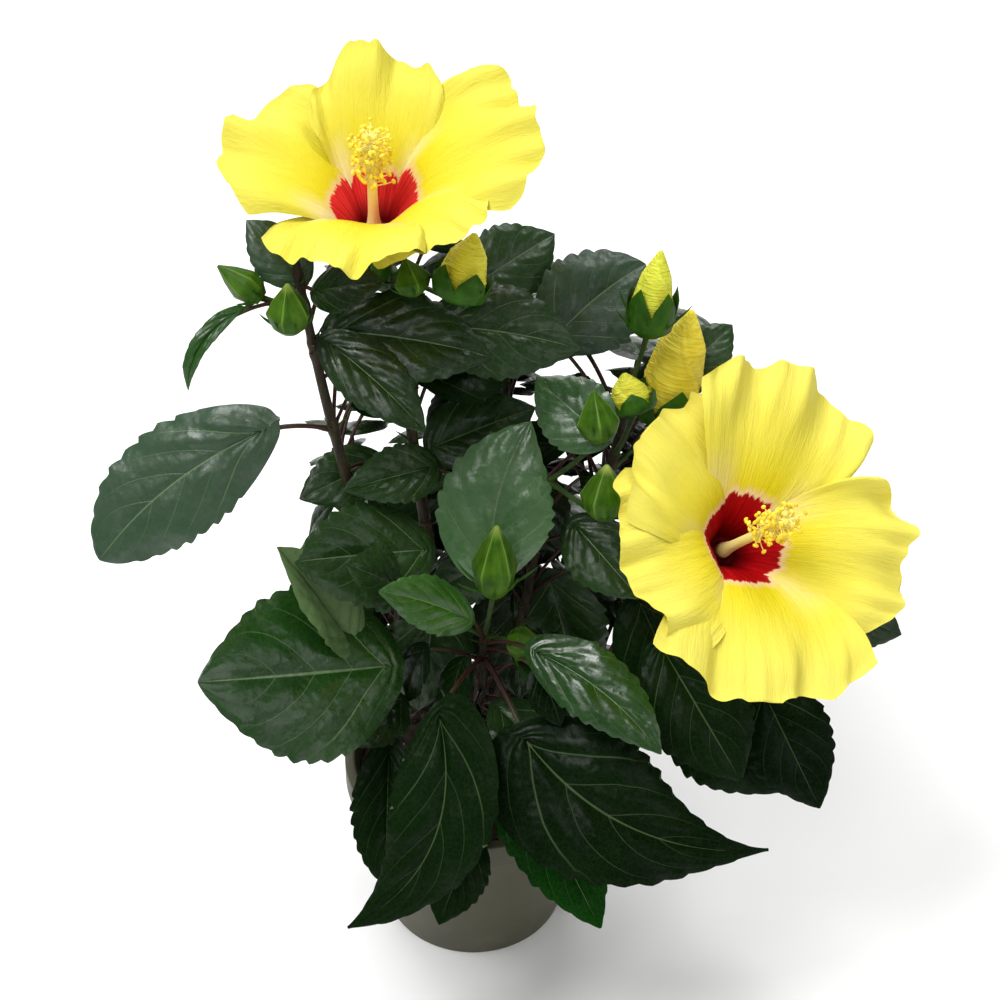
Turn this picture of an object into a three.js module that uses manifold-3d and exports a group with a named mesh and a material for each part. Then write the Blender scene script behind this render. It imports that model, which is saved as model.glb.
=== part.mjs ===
// A potted yellow hibiscus: a short trunk, ten boughs, ten leafy masses and two open blooms.
// Millimetres and degrees. +X is right, +Y is back, +Z is up; the pot's underside is Z = 0.
// The plant is built about its fork, where the boughs part, and each bloom about its throat.
import * as THREE from 'three';
import { mergeVertices } from 'three/addons/utils/BufferGeometryUtils.js';
import Module from 'manifold-3d';

// ---- driving sizes ---------------------------------------------------------------------
const GAP = 0.3;                       // clear space between neighbouring solids
const POT = {
  height: 90, baseRadius: 40, rimRadius: 56, wall: 2.4, floor: 3, rimBand: 14, rimStep: 2,
  soilHeight: 82, sides: 24,
};
const TRUNK = {
  foot: [2, 3], flareRadius: 13, radius: 8, topRadius: 7, forkHeight: 100, sides: 12, rings: 6,
  flareFall: 5,                        // how fast the root flare dies away
};
const STEM = {
  sides: 5, steps: 4,
  settle: 1.5,                         // how a stem leaves its foot's offset behind
  markStep: 0.02,                      // share between the points that leaves keep clear of
};
const LEAF = {
  across: 3, thinnest: 0.95, thickness: 1 / 88,
  widest: 0.6, taper: 0.95,            // powers that set where the blade is widest
  lobe: 0.1, lobeFall: 6,              // how far the blade reaches back beside its petiole
  camber: 0.25, edge: 0.006,
};
const STATIONS = [0, 0.1, 0.32, 0.58, 0.82, 1];    // where a blade's cross rows stand
const FEW_STATIONS = [0, 0.12, 0.42, 0.75, 1];     // the same for a leaf of the inner growth
const PETIOLE = { halfWidth: 1.1, arch: 0.08, level: 0.3 };
const PETAL = {
  stations: 6, across: 5, thickness: 1,
  throat: 70, bend: [0.05, 0.7],       // its foot climbs steeply, and it flares between these
  start: 0.05, steps: 12,
  foot: 0.09, width: 0.42, widest: 0.86, swell: 1.4,
  corner: 0.24, cornerPower: 2.4,      // how far its blunt margin is drawn in at the corners
  lift: 0.05, liftFoot: 0.25,          // one edge stands over its neighbour's
  cup: 0.05, ruffle: 0.035, waves: 1.1, waveShift: 1.7,
};
const THROAT = { heights: [-3, 0, 5], radii: [4, 5.2, 6.2] };
const COLUMN = {
  radius: 2.1, tipRadius: 1.5, sides: 6, anthers: 8, from: 0.55, to: 0.98,
  spiral: 137.5, rise: 0.5, antherReach: 5.5, antherRadius: 1, filament: 0.35, filamentSides: 3,
};
const CALYX = {
  length: 17, radius: 5.6, seatRadius: 2.2, waist: 0.4, waistSwell: 0.9, sides: 8,
  stalk: [1.7, 1.6, 1.8, 2.2], stalkSides: 6, stalkRoot: 0.3,
  lobes: 5, lobeFrom: 0.35, lobeRoot: 0.7, lobeLength: 13, lobeRadius: 1.6, lobeSpread: 55,
};
const BUD = {
  sides: 6, heights: [-0.02, 0.14, 0.4, 0.7, 1], swell: [0.45, 0.88, 1, 0.62, 0.08],
  openSwell: 0.14,                     // how much fuller a bud is that shows its petals
  stalk: [1.3, 1.1, 1.3, 1.6], stalkSides: 4, stalkRoot: 0.12,
  bracts: 3, bractFrom: 0.04, bractRoot: 0.3, bractLength: 0.55, bractRadius: 0.9,
  bractSpread: 50,
};
const SPIKE = { sides: 3, tip: 0.3 };

// Stems, as [turn, lean at the foot, lean at the tip, length, share where the leaves begin,
// radius at the foot, radius at the tip, where the foot stands from the fork].
const STEMS = {
  left: [-171, 21, 6, 272, 0.55, 3.4, 1.5, [-8, -2, -5]],
  upper: [162, 10, 4, 248, 0.5, 3.2, 1.7, [-3, 1, -2]],
  front: [-77, 25, 8, 90, 0.3, 3, 1.7, [0, -7.5, -6]],
  right_top: [13, 30, 8, 204, 0.45, 3.2, 1.5, [7, 3, -7]],
  right: [-11, 58, 22, 150, 0.35, 3.2, 1.8, [8, -3, -12]],
  left_low: [-157, 35, 5, 97, 0.35, 2.8, 1.4, [-6, -8, -13]],
  centre: [-10, 18, 4, 158, 0.45, 2.8, 1.4, [4, -3, -2]],
  back: [73, 25, 4, 210, 0.26, 3.2, 1.4, [2, 6.5, -2]],
  back_left: [137, 45, 15, 165, 0.3, 3, 1.4, [-6, 5, -9]],
  back_right: [43, 50, 20, 156, 0.35, 3, 1.4, [7, 6, -13]],
};

// Leaves that give the plant its face, grouped by stem, each as [share along the stem,
// petiole turn, rise, length, blade turn, pitch, roll, length, half width, curl, fold, bend,
// taper]; a blade without a taper of its own takes the common one.
const LEAVES = {
  left: [
    [0.7, -164, 12, 28, -156, -30, -44, 84, 0.255, 15, 6, 29, 0.65],
    [0.84, -56, 50, 16, -42, -16, 30, 50, 0.24, 20, 14, -12],
    [0.86, -18, 40, 12, -16, 4, 38, 60, 0.3, 20, 14, -8],
    [0.98, 44, -58, 4, 154, 42, -38, 30, 0.36, 20, 10, 0],
    [0.96, -22, -10, 6, -32, 32, 44, 32, 0.3, 20, 12, 0],
    [0.93, -156, 8, 26, -130, -18, -18, 36, 0.13, 62, 40, 44],
    [0.62, 48, -22, 20, -142, 4, -38, 36, 0.34, 25, 14, 0],
  ],
  upper: [
    [0.82, -54, 54, 42, -12, 0, 44, 54, 0.33, 25, 12, -12],
  ],
  right_top: [
    [0.85, 164, 56, 50, 30, 30, 30, 48, 0.44, 20, 14, -16, 0.8],
    [0.92, 22, 22, 28, 36, 30, 32, 26, 0.4, 20, 14, 0],
    [0.5, -96, 66, 46, -50, -16, 28, 40, 0.36, 20, 14, 0],
  ],
  back: [
    [0.92, -150, 66, 32, 30, 20, 36, 38, 0.42, 20, 14, 0],
  ],
  centre: [
    [0.98, -40, 54, 50, 144, 24, -36, 36, 0.4, 15, 8, -10],
    [0.75, -128, 18, 30, 60, 62, 18, 62, 0.37, 14, 12, -36],
    [0.85, 160, 30, 52, 12, 20, 40, 44, 0.36, 20, 12, 0],
    [0.8, 170, 36, 52, -140, 18, -42, 42, 0.3, 20, 25, 0],
    [0.55, -174, 58, 30, 184, -32, -50, 28, 0.46, 20, 10, 0],
    [0.5, 12, 60, 24, -56, -68, 44, 54, 0.36, 20, 14, 0],
    [0.48, 112, 62, 16, -84, -58, 6, 50, 0.42, 20, 14, 0],
    [0.6, 106, 62, 50, -42, -48, 38, 40, 0.4, 20, 14, 0],
  ],
  front: [
    [0.95, -104, 56, 46, -152, 42, -50, 46, 0.24, 12, 10, 14],
    [0.85, -114, 10, 44, -122, -42, -22, 98, 0.215, 25, 14, -84, 1.2],
    [0.85, -66, -12, 42, -24, -10, 40, 108, 0.285, 20, 10, 62, 1.6],
    [0.95, -48, 30, 36, -42, -10, 32, 64, 0.22, 25, 12, -30],
    [0.38, -94, -30, 52, -112, -28, -18, 38, 0.34, 20, 10, 0],
    [0.5, -58, 4, 28, -60, -36, 24, 86, 0.24, 20, 14, 6],
  ],
  left_low: [
    [0.7, -100, 42, 44, -150, 22, -48, 84, 0.41, 10, 8, -2, 0.9],
    [0.85, -122, 36, 44, -162, 70, -44, 60, 0.3, 14, 35, 0],
    [0.4, -108, 26, 48, -92, -46, -2, 58, 0.28, 20, 30, 0, 0.8],
    [0.5, -106, 40, 28, -124, 10, -32, 34, 0.36, 20, 12, 0],
    [0.9, -34, 74, 52, -146, 24, -46, 58, 0.36, 20, 14, 0, 0.8],
    [0.9, -86, 60, 54, -122, 54, -68, 40, 0.32, 20, 14, 0],
    [0.95, 2, 22, 16, -106, -66, -24, 52, 0.36, 20, 14, 0],
  ],
  right: [
    [0.55, -48, 54, 40, -56, -28, 26, 62, 0.37, 25, 12, 0],
    [0.6, 2, -16, 58, -58, -36, 26, 58, 0.34, 25, 12, 0],
    [0.5, 20, -26, 36, -36, -26, 36, 64, 0.38, 20, 14, 0],
    [0.7, 22, -4, 80, -14, -16, 44, 38, 0.36, 20, 14, 0],
    [0.4, -6, 72, 64, -54, -44, 28, 50, 0.38, 20, 14, 0],
  ],
};

// Buds, as [share along the stem, stalk turn, rise, length, bud turn, pitch, length, radius,
// how far the petals stand out of the calyx].
const BUDS = {
  left: [
    [0.92, -164, 28, 18, 166, 36, 20, 6, 0],
    [0.92, -110, 0, 14, 94, 84, 20, 8, 0.2],
  ],
  upper: [
    [1, -46, 8, 36, 56, 62, 26, 10, 0.7],
    [1, -66, 12, 24, 132, 68, 14, 7, 0],
  ],
  right_top: [
    [0.97, -26, 78, 28, 66, 72, 34, 9, 0.5],
    [0.76, 12, 46, 30, 44, 74, 50, 13, 1],
    [0.8, -76, 60, 46, 116, 56, 16, 9, 0.6],
  ],
  centre: [
    [0.98, -48, 54, 52, 114, 70, 20, 8, 0],
    [1, -54, 10, 38, 80, 74, 22, 9, 0.3],
  ],
  front: [
    [1, -76, 68, 42, 74, 82, 32, 9, 0.2],
    [1, -154, 48, 18, 134, 68, 16, 5, 0],
    [1, -26, 14, 12, -34, 14, 18, 7, 0],
  ],
};

// Open blooms: the stem that carries each, its throat, its axis, the first petal's turn, the
// reach and flare of a petal, how each of the five differs, as [turn, flare, reach, breadth,
// corner], and the column's length as a share of the reach.
const BLOOMS = {
  a: {
    stem: 'upper', throat: [-34, 0, 266], axis: [0, -0.1, 0.994], first: 90, reach: 82, flare: 15,
    petals: [[-3, 23, 0.89, 0.8, 0.5], [0, 7, 0.86, 1.15, 0.34], [23, 3, 0.83, 0.85],
      [7, 8, 0.79, 0.85], [-6, 9, 0.97, 0.85]],
    column: 0.58,
  },
  b: {
    stem: 'right', throat: [97, -24, 131], axis: [0.401, -0.494, 0.771], first: 24, reach: 80,
    flare: 15, petals: [[-17, 0, 1, 0.8], [-3, 0, 1.06, 0.88], [-13, 0, 0.92, 1],
      [-25, 0, 0.95, 1], [-29, 0, 1.04, 1.05]],
    column: 0.7,
  },
};

// The seeded rule that fills each mass out to its own space, an ellipsoid given by its
// centre and its radii. A leaf that would leave the space or touch another is left out.
const GROWTH = {
  spacing: 12, petiole: [18, 40], rise: [15, 60], blade: [50, 78], droop: [-8, -38], roll: 18,
  swing: 30, halfWidth: [0.34, 0.42], curl: [15, 35], fold: [8, 20],
  first: 0.04, last: 0.97,             // where on the stem's leafy stretch they may stand
  clearance: 6.5, tries: 20, shrink: 0.02,
};
const SPACES = {
  left: { seed: 11, turns: [20, 120], centre: [-25, 35, 220], radii: [45, 55, 50] },
  upper: { seed: 22, turns: [40, 170], centre: [-15, 50, 205], radii: [55, 60, 50] },
  right_top: { seed: 33, turns: [10, 160], centre: [62, 52, 150], radii: [60, 56, 46] },
  back: { seed: 44, turns: [-60, 200], centre: [15, 68, 115], radii: [70, 78, 100] },
  centre: { seed: 55, turns: [-30, 220], centre: [15, 15, 95], radii: [62, 62, 75] },
  left_low: { seed: 66, turns: [90, 220], centre: [-28, 20, 65], radii: [50, 60, 50] },
  front: { seed: 77, turns: [-170, 40], centre: [15, -28, 50], radii: [60, 50, 50] },
  right: { seed: 88, turns: [-20, 100], centre: [90, 20, 55], radii: [72, 62, 50] },
  back_left: { seed: 99, turns: [40, 200], centre: [-28, 72, 86], radii: [52, 60, 64] },
  back_right: { seed: 111, turns: [-10, 130], centre: [78, 78, 80], radii: [75, 68, 70] },
};

// Red, green, blue and roughness.
const COLOURS = {
  pot: [0.2, 0.22, 0.12, 0.55], soil: [0.09, 0.06, 0.04, 0.95], bark: [0.24, 0.17, 0.1, 0.85],
  leaf: [0.07, 0.15, 0.07, 0.42], petal: [0.96, 0.88, 0.2, 0.6], column: [0.95, 0.8, 0.35, 0.6],
};

// ---- small helpers ---------------------------------------------------------------------
const wasm = await Module();
wasm.setup();

const rad = THREE.MathUtils.degToRad;
const mix = (a, b, t) => a + (b - a) * t;
const UP = new THREE.Vector3(0, 0, 1);

/** Unit vector at a turn about +Z and a pitch above the level. */
function heading(turn, pitch) {
  const level = Math.cos(rad(pitch));
  return new THREE.Vector3(Math.cos(rad(turn)) * level, Math.sin(rad(turn)) * level,
    Math.sin(rad(pitch)));
}

/** Unit vector at an angle about the axis that two unit vectors are square to. */
function around(side, other, angle) {
  return side.clone().multiplyScalar(Math.cos(angle)).addScaledVector(other, Math.sin(angle));
}

/** A small seeded generator, so that the plant grows the same way every time. */
function seeded(seed) {
  let state = seed >>> 0;
  return () => {
    state = (state + 0x6d2b79f5) >>> 0;
    let t = Math.imul(state ^ (state >>> 15), state | 1);
    t = (t + Math.imul(t ^ (t >>> 7), t | 61)) ^ t;
    return ((t ^ (t >>> 14)) >>> 0) / 4294967296;
  };
}

function toSolid(geometry) {
  geometry.deleteAttribute('normal');
  geometry.deleteAttribute('uv');
  const merged = mergeVertices(geometry, 1e-4);
  return new wasm.Manifold(new wasm.Mesh({
    numProp: 3,
    vertProperties: Float32Array.from(merged.attributes.position.array),
    triVerts: Uint32Array.from(merged.index.array),
  }));
}

function toGeometry(solid) {
  const mesh = solid.getMesh();
  const points = new Float32Array((mesh.vertProperties.length / mesh.numProp) * 3);
  for (let i = 0; i < points.length / 3; i += 1) {
    for (let k = 0; k < 3; k += 1) points[i * 3 + k] = mesh.vertProperties[i * mesh.numProp + k];
  }
  const geometry = new THREE.BufferGeometry();
  geometry.setAttribute('position', new THREE.BufferAttribute(points, 3));
  geometry.setIndex(Array.from(mesh.triVerts));
  geometry.computeVertexNormals();
  return geometry;
}

/** All the solids as one body; a scrap that the joining leaves loose is dropped. */
function join(solids) {
  const bodies = solids.reduce((all, one) => all.add(one)).decompose();
  return bodies.sort((a, b) => b.volume() - a.volume())[0];
}

function indexed(points, faces) {
  const geometry = new THREE.BufferGeometry();
  geometry.setAttribute('position', new THREE.Float32BufferAttribute(
    points.flatMap((p) => [p.x, p.y, p.z]), 3));
  geometry.setIndex(faces);
  return geometry;
}

/** A round limb through the points, with one radius for each; its rings may be kept level. */
function limb(points, radii, sides, level = false) {
  const rings = [];
  let side = new THREE.Vector3(0, 1, 0);
  points.forEach((p, i) => {
    const along = level ? UP : points[Math.min(i + 1, points.length - 1)].clone()
      .sub(points[Math.max(i - 1, 0)]).normalize();
    side = side.clone().addScaledVector(along, -side.dot(along));
    if (side.lengthSq() < 1e-6) side = new THREE.Vector3(1, 0, 0).cross(along);
    side.normalize();
    const other = along.clone().cross(side);
    for (let k = 0; k < sides; k += 1) {
      rings.push(p.clone().addScaledVector(around(side, other, (2 * Math.PI * k) / sides),
        radii[i]));
    }
  });
  const faces = [];
  for (let i = 0; i < points.length - 1; i += 1) {
    for (let k = 0; k < sides; k += 1) {
      const a = i * sides + k;
      const b = i * sides + ((k + 1) % sides);
      faces.push(a, b, b + sides, a, b + sides, a + sides);
    }
  }
  const last = (points.length - 1) * sides;
  for (let k = 1; k < sides - 1; k += 1) {
    faces.push(0, k + 1, k, last, last + k, last + k + 1);
  }
  return toSolid(indexed(rings, faces));
}

/** A thin sheet of even thickness about a grid of points: rows along it, columns across. */
function sheet(grid, thickness) {
  const rows = grid.length;
  const cols = grid[0].length;
  const top = [];
  const under = [];
  for (let i = 0; i < rows; i += 1) {
    for (let j = 0; j < cols; j += 1) {
      const along = grid[Math.min(i + 1, rows - 1)][j].clone().sub(grid[Math.max(i - 1, 0)][j]);
      const across = grid[i][Math.min(j + 1, cols - 1)].clone().sub(grid[i][Math.max(j - 1, 0)]);
      const normal = along.cross(across).normalize();
      top.push(grid[i][j].clone().addScaledVector(normal, thickness / 2));
      under.push(grid[i][j].clone().addScaledVector(normal, -thickness / 2));
    }
  }
  const n = rows * cols;
  const faces = [];
  const at = (i, j) => i * cols + j;
  for (let i = 0; i < rows - 1; i += 1) {
    for (let j = 0; j < cols - 1; j += 1) {
      const [a, b, c, d] = [at(i, j), at(i + 1, j), at(i + 1, j + 1), at(i, j + 1)];
      faces.push(a, b, c, a, c, d, n + a, n + c, n + b, n + a, n + d, n + c);
    }
  }
  const edge = [];
  for (let i = 0; i < rows - 1; i += 1) edge.push(at(i, 0));
  for (let j = 0; j < cols - 1; j += 1) edge.push(at(rows - 1, j));
  for (let i = rows - 1; i > 0; i -= 1) edge.push(at(i, cols - 1));
  for (let j = cols - 1; j > 0; j -= 1) edge.push(at(0, j));
  edge.forEach((a, k) => {
    const b = edge[(k + 1) % edge.length];
    faces.push(a, n + a, n + b, a, n + b, b);
  });
  return toSolid(indexed([...top, ...under], faces));
}

function lathe(profile, sides) {
  const geometry = new THREE.LatheGeometry(profile.map(([r, z]) => new THREE.Vector2(r, z)),
    sides);
  geometry.rotateX(Math.PI / 2);
  return toSolid(geometry);
}

/** A named mesh with its own material, set into a group at a place of its own. */
function add(parent, name, solid, [r, g, b, roughness]) {
  const material = new THREE.MeshStandardMaterial({
    color: new THREE.Color(r, g, b), roughness, metalness: 0, flatShading: true,
  });
  material.name = name;
  const mesh = new THREE.Mesh(toGeometry(solid), material);
  mesh.name = name;
  parent.add(mesh);
  return mesh;
}

// ---- pot and soil ----------------------------------------------------------------------
/** Outer radius of the pot's wall at a height. */
const potOuter = (z) => mix(POT.baseRadius, POT.rimRadius - POT.rimStep, z / POT.height);

function pot() {
  const inner = (z) => potOuter(z) - POT.wall;
  const band = POT.height - POT.rimBand;
  return lathe([
    [0, 0], [POT.baseRadius, 0], [potOuter(band), band], [POT.rimRadius, band],
    [POT.rimRadius, POT.height], [inner(POT.height), POT.height], [inner(POT.floor), POT.floor],
    [0, POT.floor],
  ], POT.sides);
}

/** The soil, from its own underside up; its flats stay clear of the pot's. */
function soil(bottom) {
  const radius = (z) => potOuter(z) - POT.wall - 1.2 * GAP;
  const depth = POT.soilHeight - bottom;
  return lathe([[0, 0], [radius(bottom), 0], [radius(POT.soilHeight), depth], [0, depth]],
    POT.sides);
}

// ---- trunk and stems -------------------------------------------------------------------
/** The trunk, grown by an allowance so that the boughs can be cut clear of it. */
function trunk(allowance) {
  const bottom = POT.soilHeight + GAP - TRUNK.forkHeight - allowance;
  const points = [];
  const radii = [];
  for (let i = 0; i <= TRUNK.rings; i += 1) {
    const t = i / TRUNK.rings;
    points.push(new THREE.Vector3(TRUNK.foot[0] * (1 - t), TRUNK.foot[1] * (1 - t),
      mix(bottom, allowance, t)));
    radii.push(mix(TRUNK.radius, TRUNK.topRadius, t) + allowance
      + (TRUNK.flareRadius - TRUNK.radius) * Math.exp(-TRUNK.flareFall * t));
  }
  return limb(points, radii, TRUNK.sides, true);
}

/** A point on a stem's arc at a share of its length. */
function stemPoint(name, share) {
  const [turn, lean0, lean1, length, , , , foot] = STEMS[name];
  const [a, b] = [rad(lean0), rad(lean1)];
  const level = (Math.cos(a) - Math.cos(mix(a, b, share))) / (b - a);
  const height = (Math.sin(mix(a, b, share)) - Math.sin(a)) / (b - a);
  return heading(turn, 0).multiplyScalar(length * level).addScaledVector(UP, length * height)
    .addScaledVector(new THREE.Vector3(...foot), (1 - share) ** STEM.settle);
}

function stemRadius(name, share) {
  const [, , , , , thick, thin] = STEMS[name];
  return mix(thick, thin, share);
}

/** A stretch of a stem; one that starts at the foot is rooted in the middle of the trunk. */
function stemLimb(name, from, to) {
  const points = [];
  const radii = [];
  for (let i = 0; i <= STEM.steps; i += 1) {
    const share = mix(from, to, i / STEM.steps);
    points.push(stemPoint(name, share));
    radii.push(stemRadius(name, share));
  }
  if (from === 0) {
    points.unshift(new THREE.Vector3(0, 0, points[0].z - radii[0]));
    radii.unshift(radii[0]);
  }
  return limb(points, radii, STEM.sides);
}

// ---- leaves ----------------------------------------------------------------------------
/** Along, side and normal of a blade that points one way and is rolled about itself. */
function bladeAxes(turn, pitch, roll) {
  const along = heading(turn, pitch);
  const level = UP.clone().cross(along).normalize();
  const side = around(level, along.clone().cross(level), rad(roll));
  return { along, side, normal: along.clone().cross(side) };
}

/** Half width at a share of the blade's length, against the most it reaches. */
function bladeHalfWidth(u, taper) {
  const peak = LEAF.widest / (LEAF.widest + taper);
  const most = peak ** LEAF.widest * (1 - peak) ** taper;
  return (u ** LEAF.widest * (1 - u) ** taper) / most;
}

/** The middle surface of a blade: it curls down, folds along the midrib and bends aside. */
function bladeGrid(base, row, stations) {
  const [, , , , turn, pitch, roll, length, wide, curl, fold, bend, taper = LEAF.taper] = row;
  const { along, side, normal } = bladeAxes(turn, pitch, roll);
  const c = rad(curl);
  return stations.map((u) => {
    const w = wide * bladeHalfWidth(u, taper) + LEAF.edge;
    const swing = rad(bend) * (u - 0.5);
    const points = [];
    for (let j = 0; j < LEAF.across; j += 1) {
      const t = (2 * j) / (LEAF.across - 1) - 1;
      const lift = w * (Math.abs(t) * Math.sin(rad(fold)) - LEAF.camber * t * t);
      const flat = w * t * Math.cos(rad(fold));
      const x = Math.sin(c * u) / c - LEAF.lobe * t * t * (1 - u) ** LEAF.lobeFall
        + lift * Math.sin(c * u) - flat * Math.sin(swing);
      const y = flat * Math.cos(swing) + 0.5 * rad(bend) * (u * u - u);
      const z = (Math.cos(c * u) - 1) / c + lift * Math.cos(c * u);
      points.push(base.clone().addScaledVector(along, x * length)
        .addScaledVector(side, y * length).addScaledVector(normal, z * length));
    }
    return points;
  });
}

/** The grid's points and those halfway between them, along and across. */
function dense(grid) {
  const halved = (list, middle) => list.flatMap((p, i) => (i ? [middle(list[i - 1], p), p] : [p]));
  const rows = grid.map((row) => halved(row, (p, q) => p.clone().lerp(q, 0.5)));
  return halved(rows, (r, s) => r.map((p, j) => p.clone().lerp(s[j], 0.5))).flat();
}

/** One leaf: a petiole rooted in the middle of the stem runs on into its blade. */
function leaf(name, row, stations = STATIONS) {
  const [share, turn, rise, reach, bladeTurn, pitch, roll, length] = row;
  const foot = stemPoint(name, share);
  const out = heading(turn, rise);
  const base = foot.clone().addScaledVector(out, reach);
  const grid = bladeGrid(base, row, stations);
  const { side, normal } = bladeAxes(bladeTurn, pitch, roll);
  const flat = side.clone().addScaledVector(out, -side.dot(out));
  if (flat.length() < PETIOLE.level) flat.copy(normal).addScaledVector(out, -normal.dot(out));
  flat.setLength(PETIOLE.halfWidth);
  const half = foot.clone().lerp(base, 0.5).addScaledVector(UP, reach * PETIOLE.arch);
  const strap = [foot, half].map((p) => [-1, 0, 1].map((k) => p.clone().addScaledVector(flat, k)));
  const solid = sheet([...strap, ...grid], Math.max(LEAF.thinnest, length * LEAF.thickness));
  return { solid, points: [...dense(grid), half, half.clone().lerp(base, 0.5)] };
}

// ---- buds ------------------------------------------------------------------------------
/** A slender spike that leans out of a body, for a calyx lobe or a bract. */
function spike(root, out, along, length, radius, spread) {
  const tip = root.clone().addScaledVector(along, length * Math.cos(rad(spread)))
    .addScaledVector(out, length * Math.sin(rad(spread)));
  return limb([root, tip], [radius, radius * SPIKE.tip], SPIKE.sides);
}

/** One bud on its stalk, with bracts that spread below it. */
function bud(name, row) {
  const [share, turn, rise, reach, budTurn, pitch, length, radius, open] = row;
  const foot = stemPoint(name, share);
  const base = foot.clone().addScaledVector(heading(turn, rise), reach);
  const { along, side, normal } = bladeAxes(budTurn, pitch, 0);
  const at = (t) => base.clone().addScaledVector(along, length * t);
  const swell = BUD.swell.map((k, i) => (i === 3 ? k + BUD.openSwell * open : k) * radius);
  const stalk = [foot, foot.clone().lerp(base, 0.5), base, at(BUD.stalkRoot)];
  const parts = [
    limb(BUD.heights.map(at), swell, BUD.sides), limb(stalk, BUD.stalk, BUD.stalkSides),
  ];
  for (let k = 0; k < BUD.bracts; k += 1) {
    const out = around(side, normal, (2 * Math.PI * k) / BUD.bracts);
    parts.push(spike(at(BUD.bractFrom).addScaledVector(out, radius * BUD.bractRoot), out, along,
      length * BUD.bractLength, BUD.bractRadius, BUD.bractSpread));
  }
  return { solid: join(parts), points: [at(0), at(0.5), at(1)] };
}

// ---- open blooms -----------------------------------------------------------------------
/** Where a bloom stands: its right, its back and its axis, with its throat as the origin. */
function bloomPlace(bloom) {
  const axis = new THREE.Vector3(...bloom.axis).normalize();
  const right = new THREE.Vector3(0, 1, 0).cross(axis).normalize();
  const back = axis.clone().cross(right);
  return new THREE.Matrix4().makeBasis(right, back, axis)
    .setPosition(new THREE.Vector3(...bloom.throat));
}

/** How far out and up a petal's middle has come at a share of its length. */
function petalRise(far, tip) {
  const step = far / PETAL.steps;
  let [level, height] = [PETAL.start, 0];
  for (let i = 0.5; i < PETAL.steps; i += 1) {
    const open = THREE.MathUtils.smoothstep(i * step, ...PETAL.bend);
    const climb = mix(rad(PETAL.throat), tip, open);
    level += Math.cos(climb) * step;
    height += Math.sin(climb) * step;
  }
  return [level, height];
}

/** The middle surface of one petal: a fan with a steep narrow foot and a blunt margin. */
function petalGrid(bloom, k) {
  const [turn, flare, scale, breadth, corner = PETAL.corner] = bloom.petals[k];
  const out = heading(bloom.first + 72 * k + turn, 0);
  const across = UP.clone().cross(out);
  const reach = bloom.reach * scale;
  const grid = [];
  for (let i = 0; i < PETAL.stations; i += 1) {
    const u = i / (PETAL.stations - 1);
    const row = [];
    for (let j = 0; j < PETAL.across; j += 1) {
      const v = (2 * j) / (PETAL.across - 1) - 1;
      const far = u * (1 - corner * Math.abs(v) ** PETAL.cornerPower);
      const [level, height] = petalRise(far, rad(bloom.flare + flare));
      const swell = Math.sin((Math.PI / 2) * Math.min(far / PETAL.widest, 1)) ** PETAL.swell;
      const w = PETAL.foot + PETAL.width * breadth * swell;
      const wave = Math.sin(2 * Math.PI * PETAL.waves * v + PETAL.waveShift * k);
      const h = height + PETAL.lift * v * mix(PETAL.liftFoot, 1, u) + PETAL.cup * v * v * u
        + PETAL.ruffle * u * u * wave;
      row.push(out.clone().multiplyScalar(level * reach).addScaledVector(UP, h * reach)
        .addScaledVector(across, w * v * reach));
    }
    grid.push(row);
  }
  return grid;
}

/** Five petals fused into one corolla about a small solid throat. */
function corolla(bloom) {
  const cup = limb(THROAT.heights.map((h) => new THREE.Vector3(0, 0, h)), THROAT.radii,
    CALYX.sides);
  const petals = bloom.petals.map((_, k) => sheet(petalGrid(bloom, k), PETAL.thickness));
  return join([cup, ...petals]);
}

/** The staminal column from its foot up, with its anthers on short filaments. */
function column(bloom, foot) {
  const length = bloom.reach * bloom.column - foot;
  const at = (t) => new THREE.Vector3(0, 0, length * t);
  const parts = [limb([at(0), at(0.5), at(1)],
    [0, 0.5, 1].map((t) => mix(COLUMN.radius, COLUMN.tipRadius, t)), COLUMN.sides)];
  for (let k = 0; k < COLUMN.anthers; k += 1) {
    const root = at(mix(COLUMN.from, COLUMN.to, k / (COLUMN.anthers - 1)));
    const out = heading(COLUMN.spiral * k, 0).addScaledVector(UP, COLUMN.rise).normalize();
    const tip = root.clone().addScaledVector(out, COLUMN.antherReach);
    const knob = new THREE.OctahedronGeometry(COLUMN.antherRadius);
    knob.translate(tip.x, tip.y, tip.z);
    parts.push(limb([root, tip], [COLUMN.filament, COLUMN.filament], COLUMN.filamentSides),
      toSolid(knob));
  }
  return join(parts);
}

/** Stalk and calyx under an open bloom; they belong to the mass that carries it. */
function calyx(bloom) {
  const place = bloomPlace(bloom);
  const [right, back, axis] = [0, 1, 2].map((k) => new THREE.Vector3()
    .setFromMatrixColumn(place, k));
  const mouth = new THREE.Vector3(...bloom.throat).addScaledVector(axis, THROAT.heights[0] - GAP);
  const seat = mouth.clone().addScaledVector(axis, -CALYX.length);
  const along = (t) => seat.clone().lerp(mouth, t);
  const foot = stemPoint(bloom.stem, 1);
  const parts = [
    limb([seat, along(CALYX.waist), mouth],
      [CALYX.seatRadius, CALYX.radius * CALYX.waistSwell, CALYX.radius], CALYX.sides),
    limb([foot, foot.clone().lerp(seat, 0.5), seat, along(CALYX.stalkRoot)], CALYX.stalk,
      CALYX.stalkSides),
  ];
  for (let k = 0; k < CALYX.lobes; k += 1) {
    const out = around(right, back, (2 * Math.PI * (k + 0.5)) / CALYX.lobes);
    parts.push(spike(along(CALYX.lobeFrom).addScaledVector(out, CALYX.radius * CALYX.lobeRoot),
      out, axis, CALYX.lobeLength, CALYX.lobeRadius, CALYX.lobeSpread));
  }
  return { solid: join(parts), points: [seat, mouth] };
}

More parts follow.
